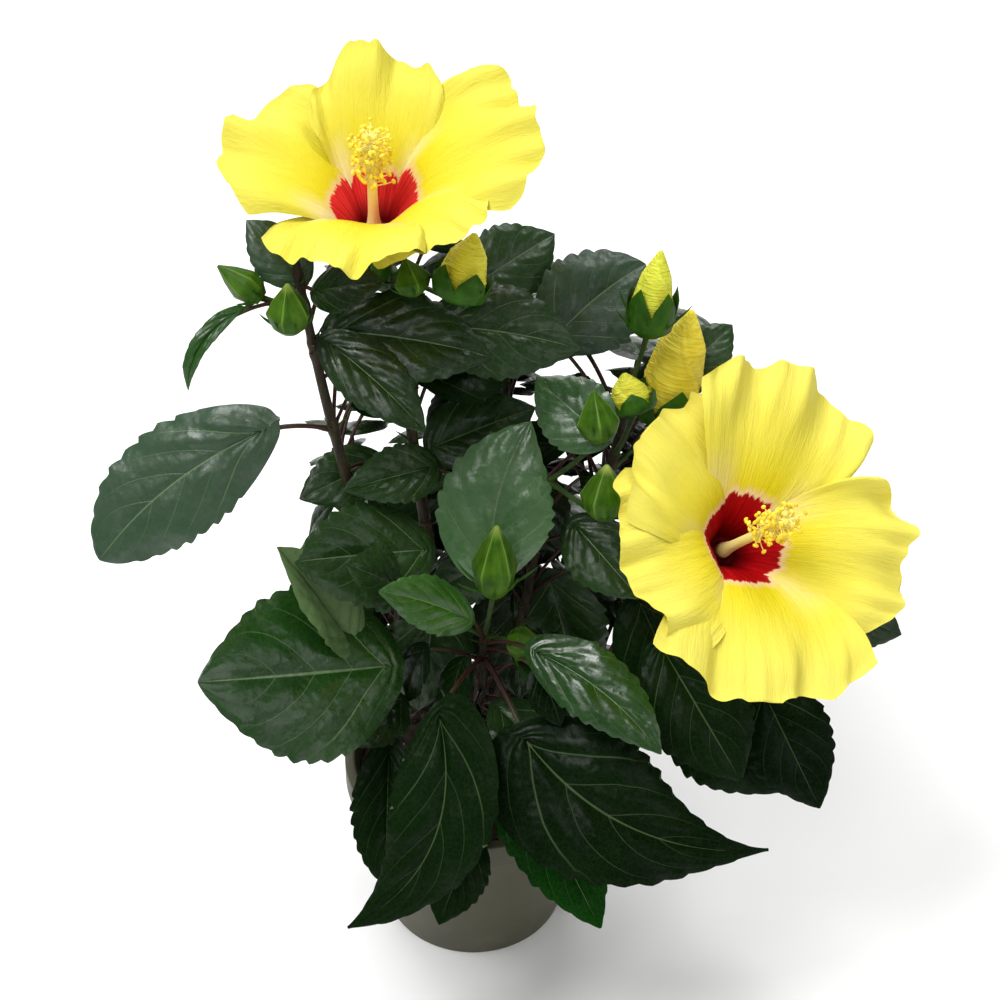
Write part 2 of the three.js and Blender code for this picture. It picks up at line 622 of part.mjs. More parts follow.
// ---- the seeded fill -------------------------------------------------------------------
/** True where every point is inside the mass's own space. */
function inSpace(space, points) {
  return points.every((p) => p.toArray().reduce((sum, value, k) => (
    sum + ((value - space.centre[k]) / space.radii[k]) ** 2), 0) <= 1);
}

function clearOf(points, taken) {
  const near = GROWTH.clearance ** 2;
  return points.every((p) => taken.every((q) => p.distanceToSquared(q) > near));
}

/** Leaves climb the mass's stem; one that would touch or stray is left out. */
function fill(name, taken) {
  const space = SPACES[name];
  const next = seeded(space.seed);
  const within = ([low, high]) => mix(low, high, next());
  const [, , , length, first] = STEMS[name];
  const steps = Math.floor((length * (1 - first)) / GROWTH.spacing);
  const grown = [];
  for (let k = 0; k <= steps; k += 1) {
    const share = mix(first + GROWTH.first, GROWTH.last, k / steps);
    for (let attempt = 0; attempt < GROWTH.tries; attempt += 1) {
      const turn = within(space.turns);
      const row = [
        share, turn, within(GROWTH.rise), within(GROWTH.petiole),
        turn + within([-GROWTH.swing, GROWTH.swing]), within(GROWTH.droop),
        within([-GROWTH.roll, GROWTH.roll]),
        within(GROWTH.blade) * (1 - GROWTH.shrink * attempt), within(GROWTH.halfWidth),
        within(GROWTH.curl), within(GROWTH.fold), 0,
      ];
      const made = leaf(name, row, FEW_STATIONS);
      if (inSpace(space, made.points) && clearOf(made.points, taken)) {
        grown.push(made);
        taken.push(...made.points);
        break;
      }
    }
  }
  return grown;
}

// ---- the potted plant, put together ----------------------------------------------------
const group = new THREE.Group();
group.name = 'hibiscus';

const potted = new THREE.Group();
const soilBottom = POT.floor + GAP;
add(potted, 'pot', pot(), COLOURS.pot);
add(potted, 'soil', soil(soilBottom), COLOURS.soil).position.z = soilBottom;
group.add(potted);

const plant = new THREE.Group();
plant.position.z = TRUNK.forkHeight;
group.add(plant);

add(plant, 'trunk', trunk(0), COLOURS.bark);
const trunkRoom = trunk(GAP);
const names = Object.keys(STEMS);
const half = (name) => GAP / 2 / STEMS[name][3];   // half the gap, as a share of the stem
names.forEach((name) => {
  const bough = stemLimb(name, 0, STEMS[name][4] - half(name)).subtract(trunkRoom);
  add(plant, `bough_${name}`, join([bough]), COLOURS.bark);
});

// Everything with a place of its own comes first; the seeded leaves keep clear of it.
const taken = [];
const made = {};
names.forEach((name) => {
  made[name] = [
    ...(LEAVES[name] ?? []).map((row) => leaf(name, row)),
    ...(BUDS[name] ?? []).map((row) => bud(name, row)),
  ];
  for (let share = 0; share <= 1; share += STEM.markStep) taken.push(stemPoint(name, share));
});
Object.entries(BLOOMS).forEach(([key, bloom]) => {
  const place = bloomPlace(bloom);
  const head = new THREE.Group();
  place.decompose(head.position, head.quaternion, head.scale);
  const foot = THROAT.heights.at(-1) + GAP;
  add(head, `corolla_${key}`, corolla(bloom), COLOURS.petal);
  add(head, `column_${key}`, column(bloom, foot), COLOURS.column).position.z = foot;
  plant.add(head);
  made[bloom.stem].push(calyx(bloom));
  bloom.petals.forEach((_, k) => petalGrid(bloom, k).flat()
    .forEach((p) => taken.push(p.applyMatrix4(place))));
});
names.forEach((name) => made[name].forEach((one) => taken.push(...one.points)));
names.forEach((name) => {
  const stem = stemLimb(name, STEMS[name][4] + half(name), 1);
  const grown = [...made[name], ...fill(name, taken)];
  add(plant, `mass_${name}`, join([stem, ...grown.map((one) => one.solid)]), COLOURS.leaf);
});

export default group;
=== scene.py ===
# Looks of a potted yellow hibiscus: bark, leaves, buds, open blooms, pot and soil, grown about
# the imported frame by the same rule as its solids. Lengths are millimetres and angles degrees
# until a mesh is made. The plant grows about its fork, and each bloom about its throat.
import math

import bpy
import numpy as np
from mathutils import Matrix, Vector


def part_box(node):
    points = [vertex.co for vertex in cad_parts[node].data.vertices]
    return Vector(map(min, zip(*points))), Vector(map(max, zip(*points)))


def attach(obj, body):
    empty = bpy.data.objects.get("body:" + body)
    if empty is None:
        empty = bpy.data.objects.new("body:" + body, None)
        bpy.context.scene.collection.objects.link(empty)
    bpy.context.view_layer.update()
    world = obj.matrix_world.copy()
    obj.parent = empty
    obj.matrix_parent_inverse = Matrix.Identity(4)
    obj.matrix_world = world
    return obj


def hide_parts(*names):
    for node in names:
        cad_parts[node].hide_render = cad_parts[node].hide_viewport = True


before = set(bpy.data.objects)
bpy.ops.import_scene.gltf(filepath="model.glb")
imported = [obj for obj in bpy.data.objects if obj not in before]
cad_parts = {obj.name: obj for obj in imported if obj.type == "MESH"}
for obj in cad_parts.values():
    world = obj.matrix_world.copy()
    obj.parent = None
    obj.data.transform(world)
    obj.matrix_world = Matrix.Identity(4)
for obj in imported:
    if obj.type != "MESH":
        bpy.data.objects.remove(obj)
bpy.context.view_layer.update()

MM = 0.001
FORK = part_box("trunk")[1].z / MM        # the trunk ends where its boughs part

# ---- sizes of the solids
GAP = 0.3
POT = {"wall": 2.4, "floor": 3, "rim_band": 14, "rim_step": 2, "base": 40, "fillet": 1.2}
TRUNK = {"foot": (2, 3), "flare": 13, "radius": 8, "top": 7, "fall": 5}
SETTLE = 1.5                            # how a stem leaves its foot's offset behind
LEAF = {"widest": 0.6, "taper": 0.95, "lobe": 0.1, "lobe_fall": 6, "camber": 0.25, "edge": 0.006}
FEW_STATIONS = (0, 0.12, 0.42, 0.75, 1)
STATIONS = (0, 0.1, 0.32, 0.58, 0.82, 1)
ARCH = 0.08                             # how far a petiole bows up, for its length
PETAL = {
    "throat": 70, "bend": (0.05, 0.7), "start": 0.05, "foot": 0.09, "width": 0.42, "widest": 0.86,
    "swell": 1.4, "corner": 0.24, "corner_power": 2.4, "lift": 0.05, "lift_foot": 0.25,
    "cup": 0.05, "ruffle": 0.035, "waves": 1.1, "shift": 1.7, "stations": 6, "across": 5,
    "knots": 61,
}
THROAT = {"heights": (-3, 0, 5), "radii": (4, 5.2, 6.2)}
COLUMN = {"radius": 2.1, "tip": 1.5, "spiral": 137.5, "anthers": 110, "from": 0.5}
CALYX = {"length": 17, "radius": 5.6, "seat": 2.2, "lobe_length": 13, "spread": 55}
BUD = {"heights": (-0.02, 0.14, 0.4, 0.7, 1), "swell": (0.45, 0.88, 1, 0.62, 0.08), "open": 0.14}

# Stems, as (turn, lean at the foot, lean at the tip, length, share where the leaves begin,
# radius at the foot, radius at the tip, where the foot stands from the fork).
STEMS = {
    "left": (-171, 21, 6, 272, 0.55, 3.4, 1.5, (-8, -2, -5)),
    "upper": (162, 10, 4, 248, 0.5, 3.2, 1.7, (-3, 1, -2)),
    "front": (-77, 25, 8, 90, 0.3, 3, 1.7, (0, -7.5, -6)),
    "right_top": (13, 30, 8, 204, 0.45, 3.2, 1.5, (7, 3, -7)),
    "right": (-11, 58, 22, 150, 0.35, 3.2, 1.8, (8, -3, -12)),
    "left_low": (-157, 35, 5, 97, 0.35, 2.8, 1.4, (-6, -8, -13)),
    "centre": (-10, 18, 4, 158, 0.45, 2.8, 1.4, (4, -3, -2)),
    "back": (73, 25, 4, 210, 0.26, 3.2, 1.4, (2, 6.5, -2)),
    "back_left": (137, 45, 15, 165, 0.3, 3, 1.4, (-6, 5, -9)),
    "back_right": (43, 50, 20, 156, 0.35, 3, 1.4, (7, 6, -13)),
}

# Leaves that give the plant its face, as (share along the stem, petiole turn, rise, length,
# blade turn, pitch, roll, length, half width, curl, fold, bend, taper where it has its own).
LEAVES = {
    "left": [
        (0.7, -164, 12, 28, -156, -30, -44, 84, 0.255, 15, 6, 29, 0.65),
        (0.84, -56, 50, 16, -42, -16, 30, 50, 0.24, 20, 14, -12),
        (0.86, -18, 40, 12, -16, 4, 38, 60, 0.3, 20, 14, -8),
        (0.98, 44, -58, 4, 154, 42, -38, 30, 0.36, 20, 10, 0),
        (0.96, -22, -10, 6, -32, 32, 44, 32, 0.3, 20, 12, 0),
        (0.93, -156, 8, 26, -130, -18, -18, 36, 0.13, 62, 40, 44),
        (0.62, 48, -22, 20, -142, 4, -38, 36, 0.34, 25, 14, 0),
    ],
    "upper": [
        (0.82, -54, 54, 42, -12, 0, 44, 54, 0.33, 25, 12, -12),
    ],
    "right_top": [
        (0.85, 164, 56, 50, 30, 30, 30, 48, 0.44, 20, 14, -16, 0.8),
        (0.92, 22, 22, 28, 36, 30, 32, 26, 0.4, 20, 14, 0),
        (0.5, -96, 66, 46, -50, -16, 28, 40, 0.36, 20, 14, 0),
    ],
    "back": [
        (0.92, -150, 66, 32, 30, 20, 36, 38, 0.42, 20, 14, 0),
    ],
    "centre": [
        (0.98, -40, 54, 50, 144, 24, -36, 36, 0.4, 15, 8, -10),
        (0.75, -128, 18, 30, 60, 62, 18, 62, 0.37, 14, 12, -36),
        (0.85, 160, 30, 52, 12, 20, 40, 44, 0.36, 20, 12, 0),
        (0.8, 170, 36, 52, -140, 18, -42, 42, 0.3, 20, 25, 0),
        (0.55, -174, 58, 30, 184, -32, -50, 28, 0.46, 20, 10, 0),
        (0.5, 12, 60, 24, -56, -68, 44, 54, 0.36, 20, 14, 0),
        (0.48, 112, 62, 16, -84, -58, 6, 50, 0.42, 20, 14, 0),
        (0.6, 106, 62, 50, -42, -48, 38, 40, 0.4, 20, 14, 0),
    ],
    "front": [
        (0.95, -104, 56, 46, -152, 42, -50, 46, 0.24, 12, 10, 14),
        (0.85, -114, 10, 44, -122, -42, -22, 98, 0.215, 25, 14, -84, 1.2),
        (0.85, -66, -12, 42, -24, -10, 40, 108, 0.285, 20, 10, 62, 1.6),
        (0.95, -48, 30, 36, -42, -10, 32, 64, 0.22, 25, 12, -30),
        (0.38, -94, -30, 52, -112, -28, -18, 38, 0.34, 20, 10, 0),
        (0.5, -58, 4, 28, -60, -36, 24, 86, 0.24, 20, 14, 6),
    ],
    "left_low": [
        (0.7, -100, 42, 44, -150, 22, -48, 84, 0.41, 10, 8, -2, 0.9),
        (0.85, -122, 36, 44, -162, 70, -44, 60, 0.3, 14, 35, 0),
        (0.4, -108, 26, 48, -92, -46, -2, 58, 0.28, 20, 30, 0, 0.8),
        (0.5, -106, 40, 28, -124, 10, -32, 34, 0.36, 20, 12, 0),
        (0.9, -34, 74, 52, -146, 24, -46, 58, 0.36, 20, 14, 0, 0.8),
        (0.9, -86, 60, 54, -122, 54, -68, 40, 0.32, 20, 14, 0),
        (0.95, 2, 22, 16, -106, -66, -24, 52, 0.36, 20, 14, 0),
    ],
    "right": [
        (0.55, -48, 54, 40, -56, -28, 26, 62, 0.37, 25, 12, 0),
        (0.6, 2, -16, 58, -58, -36, 26, 58, 0.34, 25, 12, 0),
        (0.5, 20, -26, 36, -36, -26, 36, 64, 0.38, 20, 14, 0),
        (0.7, 22, -4, 80, -14, -16, 44, 38, 0.36, 20, 14, 0),
        (0.4, -6, 72, 64, -54, -44, 28, 50, 0.38, 20, 14, 0),
    ],
}

# Leaves of another tone than the common dark green, by stem and place in its list.
# The deep tone is painted shade, given to leaves low in the crown.
# The greyer tone of the upper leaves is a painted sheen of the bright sky.
# The sunlit tone is painted light on leaves in the middle of the crown.
TONES = {
    ("front", 0): "young", ("front", 1): "deep", ("front", 2): "deep", ("front", 3): "fresh",
    ("front", 4): "deep", ("front", 5): "bright", ("left", 0): "painted_sheen", ("left", 5): "fresh",
    ("left", 3): "painted_sheen", ("centre", 1): "sunlit", ("centre", 0): "sunlit", ("right_top", 0): "painted_sheen",
    ("left_low", 0): "fresh", ("left_low", 1): "pale", ("left_low", 2): "deep",
    ("right", 0): "deep", ("right", 1): "deep", ("right", 2): "deep", ("right", 4): "deep",
}

# Buds, as (share along the stem, stalk turn, rise, length, bud turn, pitch, length, radius,
# how far the petals stand out of the calyx).
BUDS = {
    "left": [
        (0.92, -164, 28, 18, 166, 36, 20, 6, 0),
        (0.92, -110, 0, 14, 94, 84, 20, 8, 0.2),
    ],
    "upper": [
        (1, -46, 8, 36, 56, 62, 26, 10, 0.7),
        (1, -66, 12, 24, 132, 68, 14, 7, 0),
    ],
    "right_top": [
        (0.97, -26, 78, 28, 66, 72, 34, 9, 0.5),
        (0.76, 12, 46, 30, 44, 74, 50, 13, 1),
        (0.8, -76, 60, 46, 116, 56, 16, 9, 0.6),
    ],
    "centre": [
        (0.98, -48, 54, 52, 114, 70, 20, 8, 0),
        (1, -54, 10, 38, 80, 74, 22, 9, 0.3),
    ],
    "front": [
        (1, -76, 68, 42, 74, 82, 32, 9, 0.2),
        (1, -154, 48, 18, 134, 68, 16, 5, 0),
        (1, -26, 14, 12, -34, 14, 18, 7, 0),
    ],
}

# Open blooms: the stem that carries each, throat, axis, the first petal's turn, the reach and
# flare of a petal, the column's length as a share of the reach, and how each of the five petals
# differs, as (turn, flare, reach, breadth, corner).
BLOOMS = {
    "a": {
        "stem": "upper", "throat": (-34, 0, 266), "axis": (0, -0.1, 0.994),
        "first": 90, "reach": 82, "flare": 15, "column": 0.58,
        "petals": ((-3, 23, 0.89, 0.8, 0.5), (0, 7, 0.86, 1.15, 0.34), (23, 3, 0.83, 0.85),
                   (7, 8, 0.79, 0.85), (-6, 9, 0.97, 0.85)),
    },
    "b": {
        "stem": "right", "throat": (97, -24, 131), "axis": (0.401, -0.494, 0.771),
        "first": 24, "reach": 80, "flare": 15, "column": 0.7,
        "petals": ((-17, 0, 1, 0.8), (-3, 0, 1.06, 0.88), (-13, 0, 0.92, 1),
                   (-25, 0, 0.95, 1), (-29, 0, 1.04, 1.05)),
    },
}

# The seeded rule that fills each mass out to its own space, an ellipsoid given by its centre
# and its radii. A leaf that would leave the space or touch another is left out.
GROWTH = {
    "spacing": 12, "petiole": (18, 40), "rise": (15, 60), "blade": (50, 78),
    "droop": (-8, -38), "roll": 18, "swing": 30, "half_width": (0.34, 0.42), "curl": (15, 35),
    "fold": (8, 20), "first": 0.04, "last": 0.97, "clearance": 6.5, "tries": 20, "shrink": 0.02,
}
# The same rule with smaller leaves on shorter petioles, for the finer inner growth.
FINE_GROWTH = {
    **GROWTH, "spacing": 5, "petiole": (8, 34), "rise": (-10, 65), "blade": (26, 52),
    "droop": (0, -60), "roll": 30, "clearance": 3.6, "tries": 40, "shrink": 0.012,
}
SPACES = {
    "left": (11, (20, 120), (-25, 35, 220), (45, 55, 50)),
    "upper": (22, (40, 170), (-15, 50, 205), (55, 60, 50)),
    "right_top": (33, (10, 160), (62, 52, 150), (60, 56, 46)),
    "back": (44, (-60, 200), (15, 68, 115), (70, 78, 100)),
    "centre": (55, (-30, 220), (15, 15, 95), (62, 62, 75)),
    "left_low": (66, (90, 220), (-28, 20, 65), (50, 60, 50)),
    "front": (77, (-170, 40), (15, -28, 50), (60, 50, 50)),
    "right": (88, (-20, 100), (90, 20, 55), (72, 62, 50)),
    "back_left": (99, (40, 200), (-28, 72, 86), (52, 60, 64)),
    "back_right": (111, (-10, 130), (78, 78, 80), (75, 68, 70)),
}

# Lines of sight through the crown that the finer leaves leave open: where each crosses the
# plane y = 0, as (x, z), and the stretch of it that is kept, as a share of its length there.
OPENINGS = (
    (-57, 166), (-64, 158), (-70, 150), (-74, 140), (-70, 130), (-67, 163), (-77, 155),
    (-54, 233), (-50, 227), (-56, 239), (55, 214), (59, 207), (53, 205),
    (42, 132), (45, 126), (39, 126), (105, 217), (-33, 171), (-40, 171), (-26, 171),
)
OPENING_REACH = (0.88, 1.14, 0.0028)

# ---- sizes of the finer forms
# Rows and columns of a blade's mesh, by how near to the eye its kind stands.
BLADE = {"hero": (66, 27), "grown": (48, 19), "fine": (34, 15), "thickness": 0.45}
TEETH = {"from": 0.2, "fewest": 5, "more": 0.045, "depth": 0.085, "rise": 0.78, "forward": 0.5,
         "uneven": (0.65, 0.7)}
# Puckers all over a blade, as (height, waves), and the waves of its margin.
PUCKER = ((0.009, 1.4), (0.006, 2.6), (0.003, 5.3))
MARGIN = {"height": 0.013, "waves": 1.7, "lag": 1.9}
VEINS = {"pairs": 5, "slope": 0.36, "sweep": 0.12, "quilt": 0.014, "groove": 0.006}
MIDRIB = {"depth": 0.7, "breadth": 0.03}
FRILL = {
    "waves": ((1.3, 0.026), (2.4, 0.018), (3.8, 0.009), (6.3, 0.004)),
    "creases": ((4.3, 0.0012), (7.1, 0.001), (11.6, 0.0009)), "recurve": 0.05,
}
# Lamps, as (place, size, power) in metres and watts; all of them face the plant's middle.
LAMPS = {
    "key": ((-0.8, -0.45, 2.2), 1.0, 36), "top": ((0.5, 0.8, 2.1), 0.9, 16),
    "window": ((-0.5, 1.7, 1.5), 1.8, 24), "fill": ((1.4, -1.3, 1.3), 1.6, 8),
    "front": ((-0.6, -1.5, 2.0), 0.9, 9),
}
LAMPS_AIM, WORLD_STRENGTH = (0, 0, 0.2), 0.3
CAMERA = {"elevation": 42, "distance": 1.05, "lens": 94.5, "aim": (0.012, 0, 0.238)}
# The eye of a petal, as shares of its length: how far its crimson reaches, how uneven its edge
# is, how blunt it is towards the petal's sides, and the pale band about it.
EYE = {"reach": 0.34, "ragged": 0.04, "blunt": 0.42, "halo": 0.06}
# Painted light on each bloom, as the range of its petals' shades: high is lit, low is shade.
BLOOM_PAINTED_LIGHT = {"a": (0.7, 1.0), "b": (0.0, 0.3)}
BRACTS = 7
OPEN_BUD = 0.4                          # a bud that stands out further shows its petals
# How thick stalks are along their run, in millimetres, and a petiole against its own radius.
BUD_STALK = (1.5, 1.2, 1.05, 1, 1, 1.05, 1.15, 1.4, 1.6)
BLOOM_STALK = (1.7, 1.6, 1.5, 1.5, 1.5, 1.6, 1.7, 1.9, 2.2, 2.4)
PETIOLE = (1.5, 1.3, 1.05, 1, 1, 1, 1, 1, 1, 1.1, 1.2, 0.9, 0.35)
ANTHER = {"reach": (4.6, 8.8), "size": (1.25, 0.8), "filament": (0.3, 0.26, 0.24, 0.22, 0.2)}
STIGMA = {"reach": 4.6, "size": (0.7, 1.25), "style": (0.4, 0.34, 0.3, 0.3, 0.3, 0.3)}
# Furrows along the wood: how many there are about it, on a bough how tightly they wind, and
# their depth as a share of the radius.
BOUGH = {"step": 1.3, "furrows": ((3, 60, 0.03), (5, 34, 0.03), (9, 17, 0.022))}
TRUNK_FURROWS = ((3, 0.05), (5, 0.05), (11, 0.025), (17, 0.02))
# Scars where old leaves stood, in millimetres along a bough, their height a share of its radius.
LEAF_SCARS = {"first": 9, "apart": 17, "height": 0.14, "breadth": 1.5}
# Bumps of the soil, as (height, pitch), and how far its bed lies under its solid's top.
SOIL = {"bumps": ((0.9, 23), (0.55, 9), (0.3, 4.3), (0.2, 2.1)), "crumbs": 900, "sunk": 2.2}
FINER_SEED = 1000
GRID_STEP = 9.0                         # sets each grid's streaks apart from the next one's
PLAIN_GLOSS = 0.5

# The tones of a leaf, as (deeper green, lighter green, roughness, sheen, how far veins show).
LEAF_TONES = {
    "dark": ((0.004, 0.015, 0.002), (0.013, 0.04, 0.007), 0.3, 0.38),
    "under": ((0.03, 0.062, 0.024), (0.05, 0.095, 0.036), 0.6, 0.2),
    "fresh": ((0.005, 0.03, 0.002), (0.015, 0.066, 0.007), 0.28, 0.6),
    "bright": ((0.001, 0.024, 0.0005), (0.003, 0.044, 0.001), 0.45, 0.04),
    "young": ((0.012, 0.06, 0.004), (0.05, 0.15, 0.02), 0.3, 0.6, 1, (0.16, 0.28, 0.08)),
    "pale": ((0.06, 0.11, 0.035), (0.1, 0.17, 0.06), 0.5, 0.2),
    # Painted shade: near-black greens for leaves low in the crown and inside it.
    "deep": ((0.0008, 0.006, 0.0005), (0.003, 0.014, 0.0015), 0.32, 0.08, 0.45),
    # Painted sheen: a paler, greyer green for upper leaves that face the light above.
    "painted_sheen": ((0.018, 0.042, 0.02), (0.034, 0.07, 0.036), 0.34, 0.45),
    # Painted light: brighter greens for the lit leaves in the middle of the crown.
    "sunlit": ((0.024, 0.07, 0.018), (0.065, 0.15, 0.052), 0.26, 0.75),
}
# The finer inner leaves take the deep tone, painted shade inside the crown.
OTHER_TONES = {"grown": "dark", "fine": "deep"}


# ---- arithmetic
def mix(a, b, t):
    return a + (b - a) * t


def smooth(low, high, x):
    """A soft step from 0 at low to 1 at high."""
    s = np.clip((x - low) / (high - low), 0, 1)
    return s * s * (3 - 2 * s)


def unit(v):
    return v / np.linalg.norm(v, axis=-1, keepdims=True)


def heading(turn, pitch):
    """Unit vector at a turn about +Z and a pitch above the level."""
    t, p = math.radians(turn), math.radians(pitch)
    return np.array([math.cos(t) * math.cos(p), math.sin(t) * math.cos(p), math.sin(p)])


UP = np.array([0.0, 0.0, 1.0])


def around(side, other, angle):
    """Unit vectors at angles about the axis that two unit vectors are square to."""
    angle = np.asarray(angle)[..., None]
    return np.cos(angle) * side + np.sin(angle) * other


def circle(sides):
    """Angles at even steps about an axis."""
    return np.arange(sides) * 2 * math.pi / sides


def seeded(seed):
    """The solids' small generator, so that both grow the same leaves."""
    word = 0xFFFFFFFF
    state = seed

    def draw():
        nonlocal state
        state = (state + 0x6D2B79F5) & word
        t = ((state ^ (state >> 15)) * (state | 1)) & word
        t = ((t + ((t ^ (t >> 7)) * (t | 61))) & word) ^ t
        return (t ^ (t >> 14)) / 4294967296
    return draw


# ---- joined meshes
class Pile:
    """Gathers grids of points into one joined mesh.

    The map "Pattern" holds what the materials read, across and along each grid, and "OFBake"
    gives every grid a rectangle of its own. "shade" is one number for each grid.
    """

    def __init__(self, name):
        self.name, self.grids = name, []

    def add(self, points, slot=0, wrap=False, flip=False, across=None, along=None, shade=0.5):
        """A grid of rows and columns, faced along row x column unless it is flipped.

        wrap joins the last column to the first.
        """
        rows, cols = points.shape[:2]
        edges = cols + 1 if wrap else cols
        x = np.linspace(0, 1, edges) if across is None else across
        y = np.linspace(0, 1, rows) if along is None else along
        pattern = np.stack(np.broadcast_arrays(x[None, :], y[:, None]), -1)
        self.grids.append((points, slot, wrap, flip, pattern, shade))

    def rectangles(self):
        """Where each grid lies on the bake's map, on shelves from the tallest down."""
        sizes = []
        for points, _, wrap, _, _, _ in self.grids:
            ring = np.concatenate([points, points[:, :1]], 1) if wrap else points
            wide = np.linalg.norm(np.diff(ring, axis=1), axis=-1).sum(1).max()
            tall = np.linalg.norm(np.diff(points, axis=0), axis=-1).sum(0).max()
            sizes.append((max(wide, 0.5), max(tall, 0.5)))
        sizes = np.array(sizes)
        shelf = math.sqrt((sizes[:, 0] * sizes[:, 1]).sum() * 1.12)
        shelf = max(shelf, sizes[:, 0].max())
        corners = np.zeros((len(sizes), 2))
        x = y = height = 0.0
        for k in np.argsort(-sizes[:, 1], kind="stable"):
            wide, tall = sizes[k]
            if x + wide > shelf * 1.0001:
                x, y, height = 0.0, y + height, 0.0
            corners[k] = x, y
            x, height = x + wide, max(height, tall)
        scale = 1 / max(shelf, y + height)
        return corners * scale, sizes * scale

    def build(self, materials, slot, replaced):
        """Makes the object, lets it ride on the body and hides the solids it stands for."""
        corners, sizes = self.rectangles()
        co, quads, slots, pattern, bake, shades = [], [], [], [], [], []
        start = 0
        for (points, part, wrap, flip, grid, shade), low, size in zip(
                self.grids, corners, sizes):
            rows, cols = points.shape[:2]
            index = start + np.arange(rows * cols).reshape(rows, cols)
            if wrap:
                index = np.concatenate([index, index[:, :1]], 1)
            edges = index.shape[1]
            at = np.meshgrid(np.linspace(0.02, 0.98, edges), np.linspace(0.02, 0.98, rows))
            at = np.stack(at, -1)
            order = ((0, 0), (1, 0), (1, 1), (0, 1))
            if flip:
                order = order[::-1]
            cut = [(slice(i, rows - 1 + i), slice(j, edges - 1 + j)) for i, j in order]
            quads.append(np.stack([index[c] for c in cut], -1).reshape(-1, 4))
            pattern.append(np.stack([grid[c] for c in cut], -2).reshape(-1, 2))
            bake.append(np.stack([(low + at * size)[c] for c in cut], -2).reshape(-1, 2))
            slots.append(np.full((rows - 1) * (edges - 1), part))
            shades.append(np.full(rows * cols, shade))
            co.append(points.reshape(-1, 3))
            start += rows * cols
        mesh = bpy.data.meshes.new(self.name)
        quads = np.concatenate(quads)
        mesh.vertices.add(start)
        mesh.vertices.foreach_set("co", (np.concatenate(co) * MM).astype(np.float32).ravel())
        mesh.loops.add(quads.size)
        mesh.loops.foreach_set("vertex_index", quads.astype(np.int32).ravel())
        mesh.polygons.add(len(quads))
        mesh.polygons.foreach_set("loop_start", np.arange(0, quads.size, 4, dtype=np.int32))
        mesh.polygons.foreach_set("material_index", np.concatenate(slots).astype(np.int32))
        mesh.polygons.foreach_set("use_smooth", np.ones(len(quads), bool))
        for name, values in (("OFBake", bake), ("Pattern", pattern)):
            layer = mesh.uv_layers.new(name=name)
            layer.uv.foreach_set("vector", np.concatenate(values).astype(np.float32).ravel())
        mesh.attributes.new("shade", "FLOAT", "POINT").data.foreach_set(
            "value", np.concatenate(shades).astype(np.float32))
        mesh.update(calc_edges=True)
        for material in materials:
            mesh.materials.append(material)
        piece = bpy.data.objects.new(self.name, mesh)
        bpy.context.scene.collection.objects.link(piece)
        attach(piece, "root")
        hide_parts(*replaced)


def rings(points, radii, sides):
    """Rings of points about a path, with one radius for each or a row of them for a ring."""
    points = np.asarray(points, float)
    radii = np.asarray(radii, float)
    radii = np.broadcast_to(radii[:, None] if radii.ndim == 1 else radii, (len(points), sides))
    alongs = unit(np.gradient(points, axis=0))
    side = np.array([0.0, 1.0, 0.0])
    out = []
    for p, along, r in zip(points, alongs, radii):
        side = side - along * (side @ along)
        if side @ side < 1e-6:
            side = np.cross([1.0, 0.0, 0.0], along)
        side = unit(side)
        ring = around(side, np.cross(along, side), circle(sides))
        out.append(p + ring * r[:, None])
    return np.array(out)


def capped(grid):
    """A grid of rings with each end drawn in to its centre."""
    ends = [ring.mean(0) + (ring - ring.mean(0)) * 0.02 for ring in (grid[0], grid[-1])]
    return np.concatenate([ends[0][None], grid, ends[1][None]])


def tube(pile, points, radii, sides, slot=0, shade=0.5):
    pile.add(capped(rings(points, radii, sides)), slot, wrap=True, flip=True, shade=shade)


def flat_ring(sides):
    """Level unit vectors about +Z."""
    angle = circle(sides)
    return np.stack([np.cos(angle), np.sin(angle), 0 * angle], -1)


def turned(base, axes, height, wall):
    """Rings about an axis, at heights along it and as far out as their wall."""
    along, side, normal = axes
    ring = around(side, normal, circle(wall.shape[1]))
    return base + along * height[..., None] + ring[None] * wall[..., None]


def bowed(start, middle, end, steps):
    """Points on the curve that passes through three places."""
    t = np.linspace(0, 1, steps)[:, None]
    handle = 2 * middle - (start + end) / 2
    return (1 - t) ** 2 * start + 2 * t * (1 - t) * handle + t ** 2 * end


def sheet(pile, middle, half, slots, **maps):
    """Both faces of a thin sheet about a grid; they meet along its edge."""
    normal = np.cross(np.gradient(middle, axis=0), np.gradient(middle, axis=1))
    normal = normal / (np.linalg.norm(normal, axis=-1, keepdims=True) + 1e-9)
    upper, lower = half if isinstance(half, tuple) else (half, half)
    pile.add(middle + normal * upper[..., None], slots[0], **maps)
    pile.add(middle - normal * lower[..., None], slots[1], flip=True, **maps)


# ---- stems
def stem_point(name, share):
    """Points on a stem's arc at shares of its length."""
    turn, lean0, lean1, length, _, _, _, foot = STEMS[name]
    share = np.asarray(share, float)[..., None]
    a, b = math.radians(lean0), math.radians(lean1)
    lean = mix(a, b, share)
    level = (math.cos(a) - np.cos(lean)) / (b - a)
    height = (np.sin(lean) - math.sin(a)) / (b - a)
    return (heading(turn, 0) * length * level + UP * length * height
            + np.array(foot, float) * (1 - share) ** SETTLE)


def stem_radius(name, share):
    return mix(STEMS[name][5], STEMS[name][6], np.asarray(share, float))


def lumps(name, share, amount=0.6):
    """How much a stem swells where its leaves and buds stand."""
    length = STEMS[name][3]
    total = np.zeros_like(share)
    for row in LEAVES.get(name, []) + BUDS.get(name, []):
        total += np.exp(-((share - row[0]) * length / 2.2) ** 2)
    return np.minimum(total, 1.3) * amount


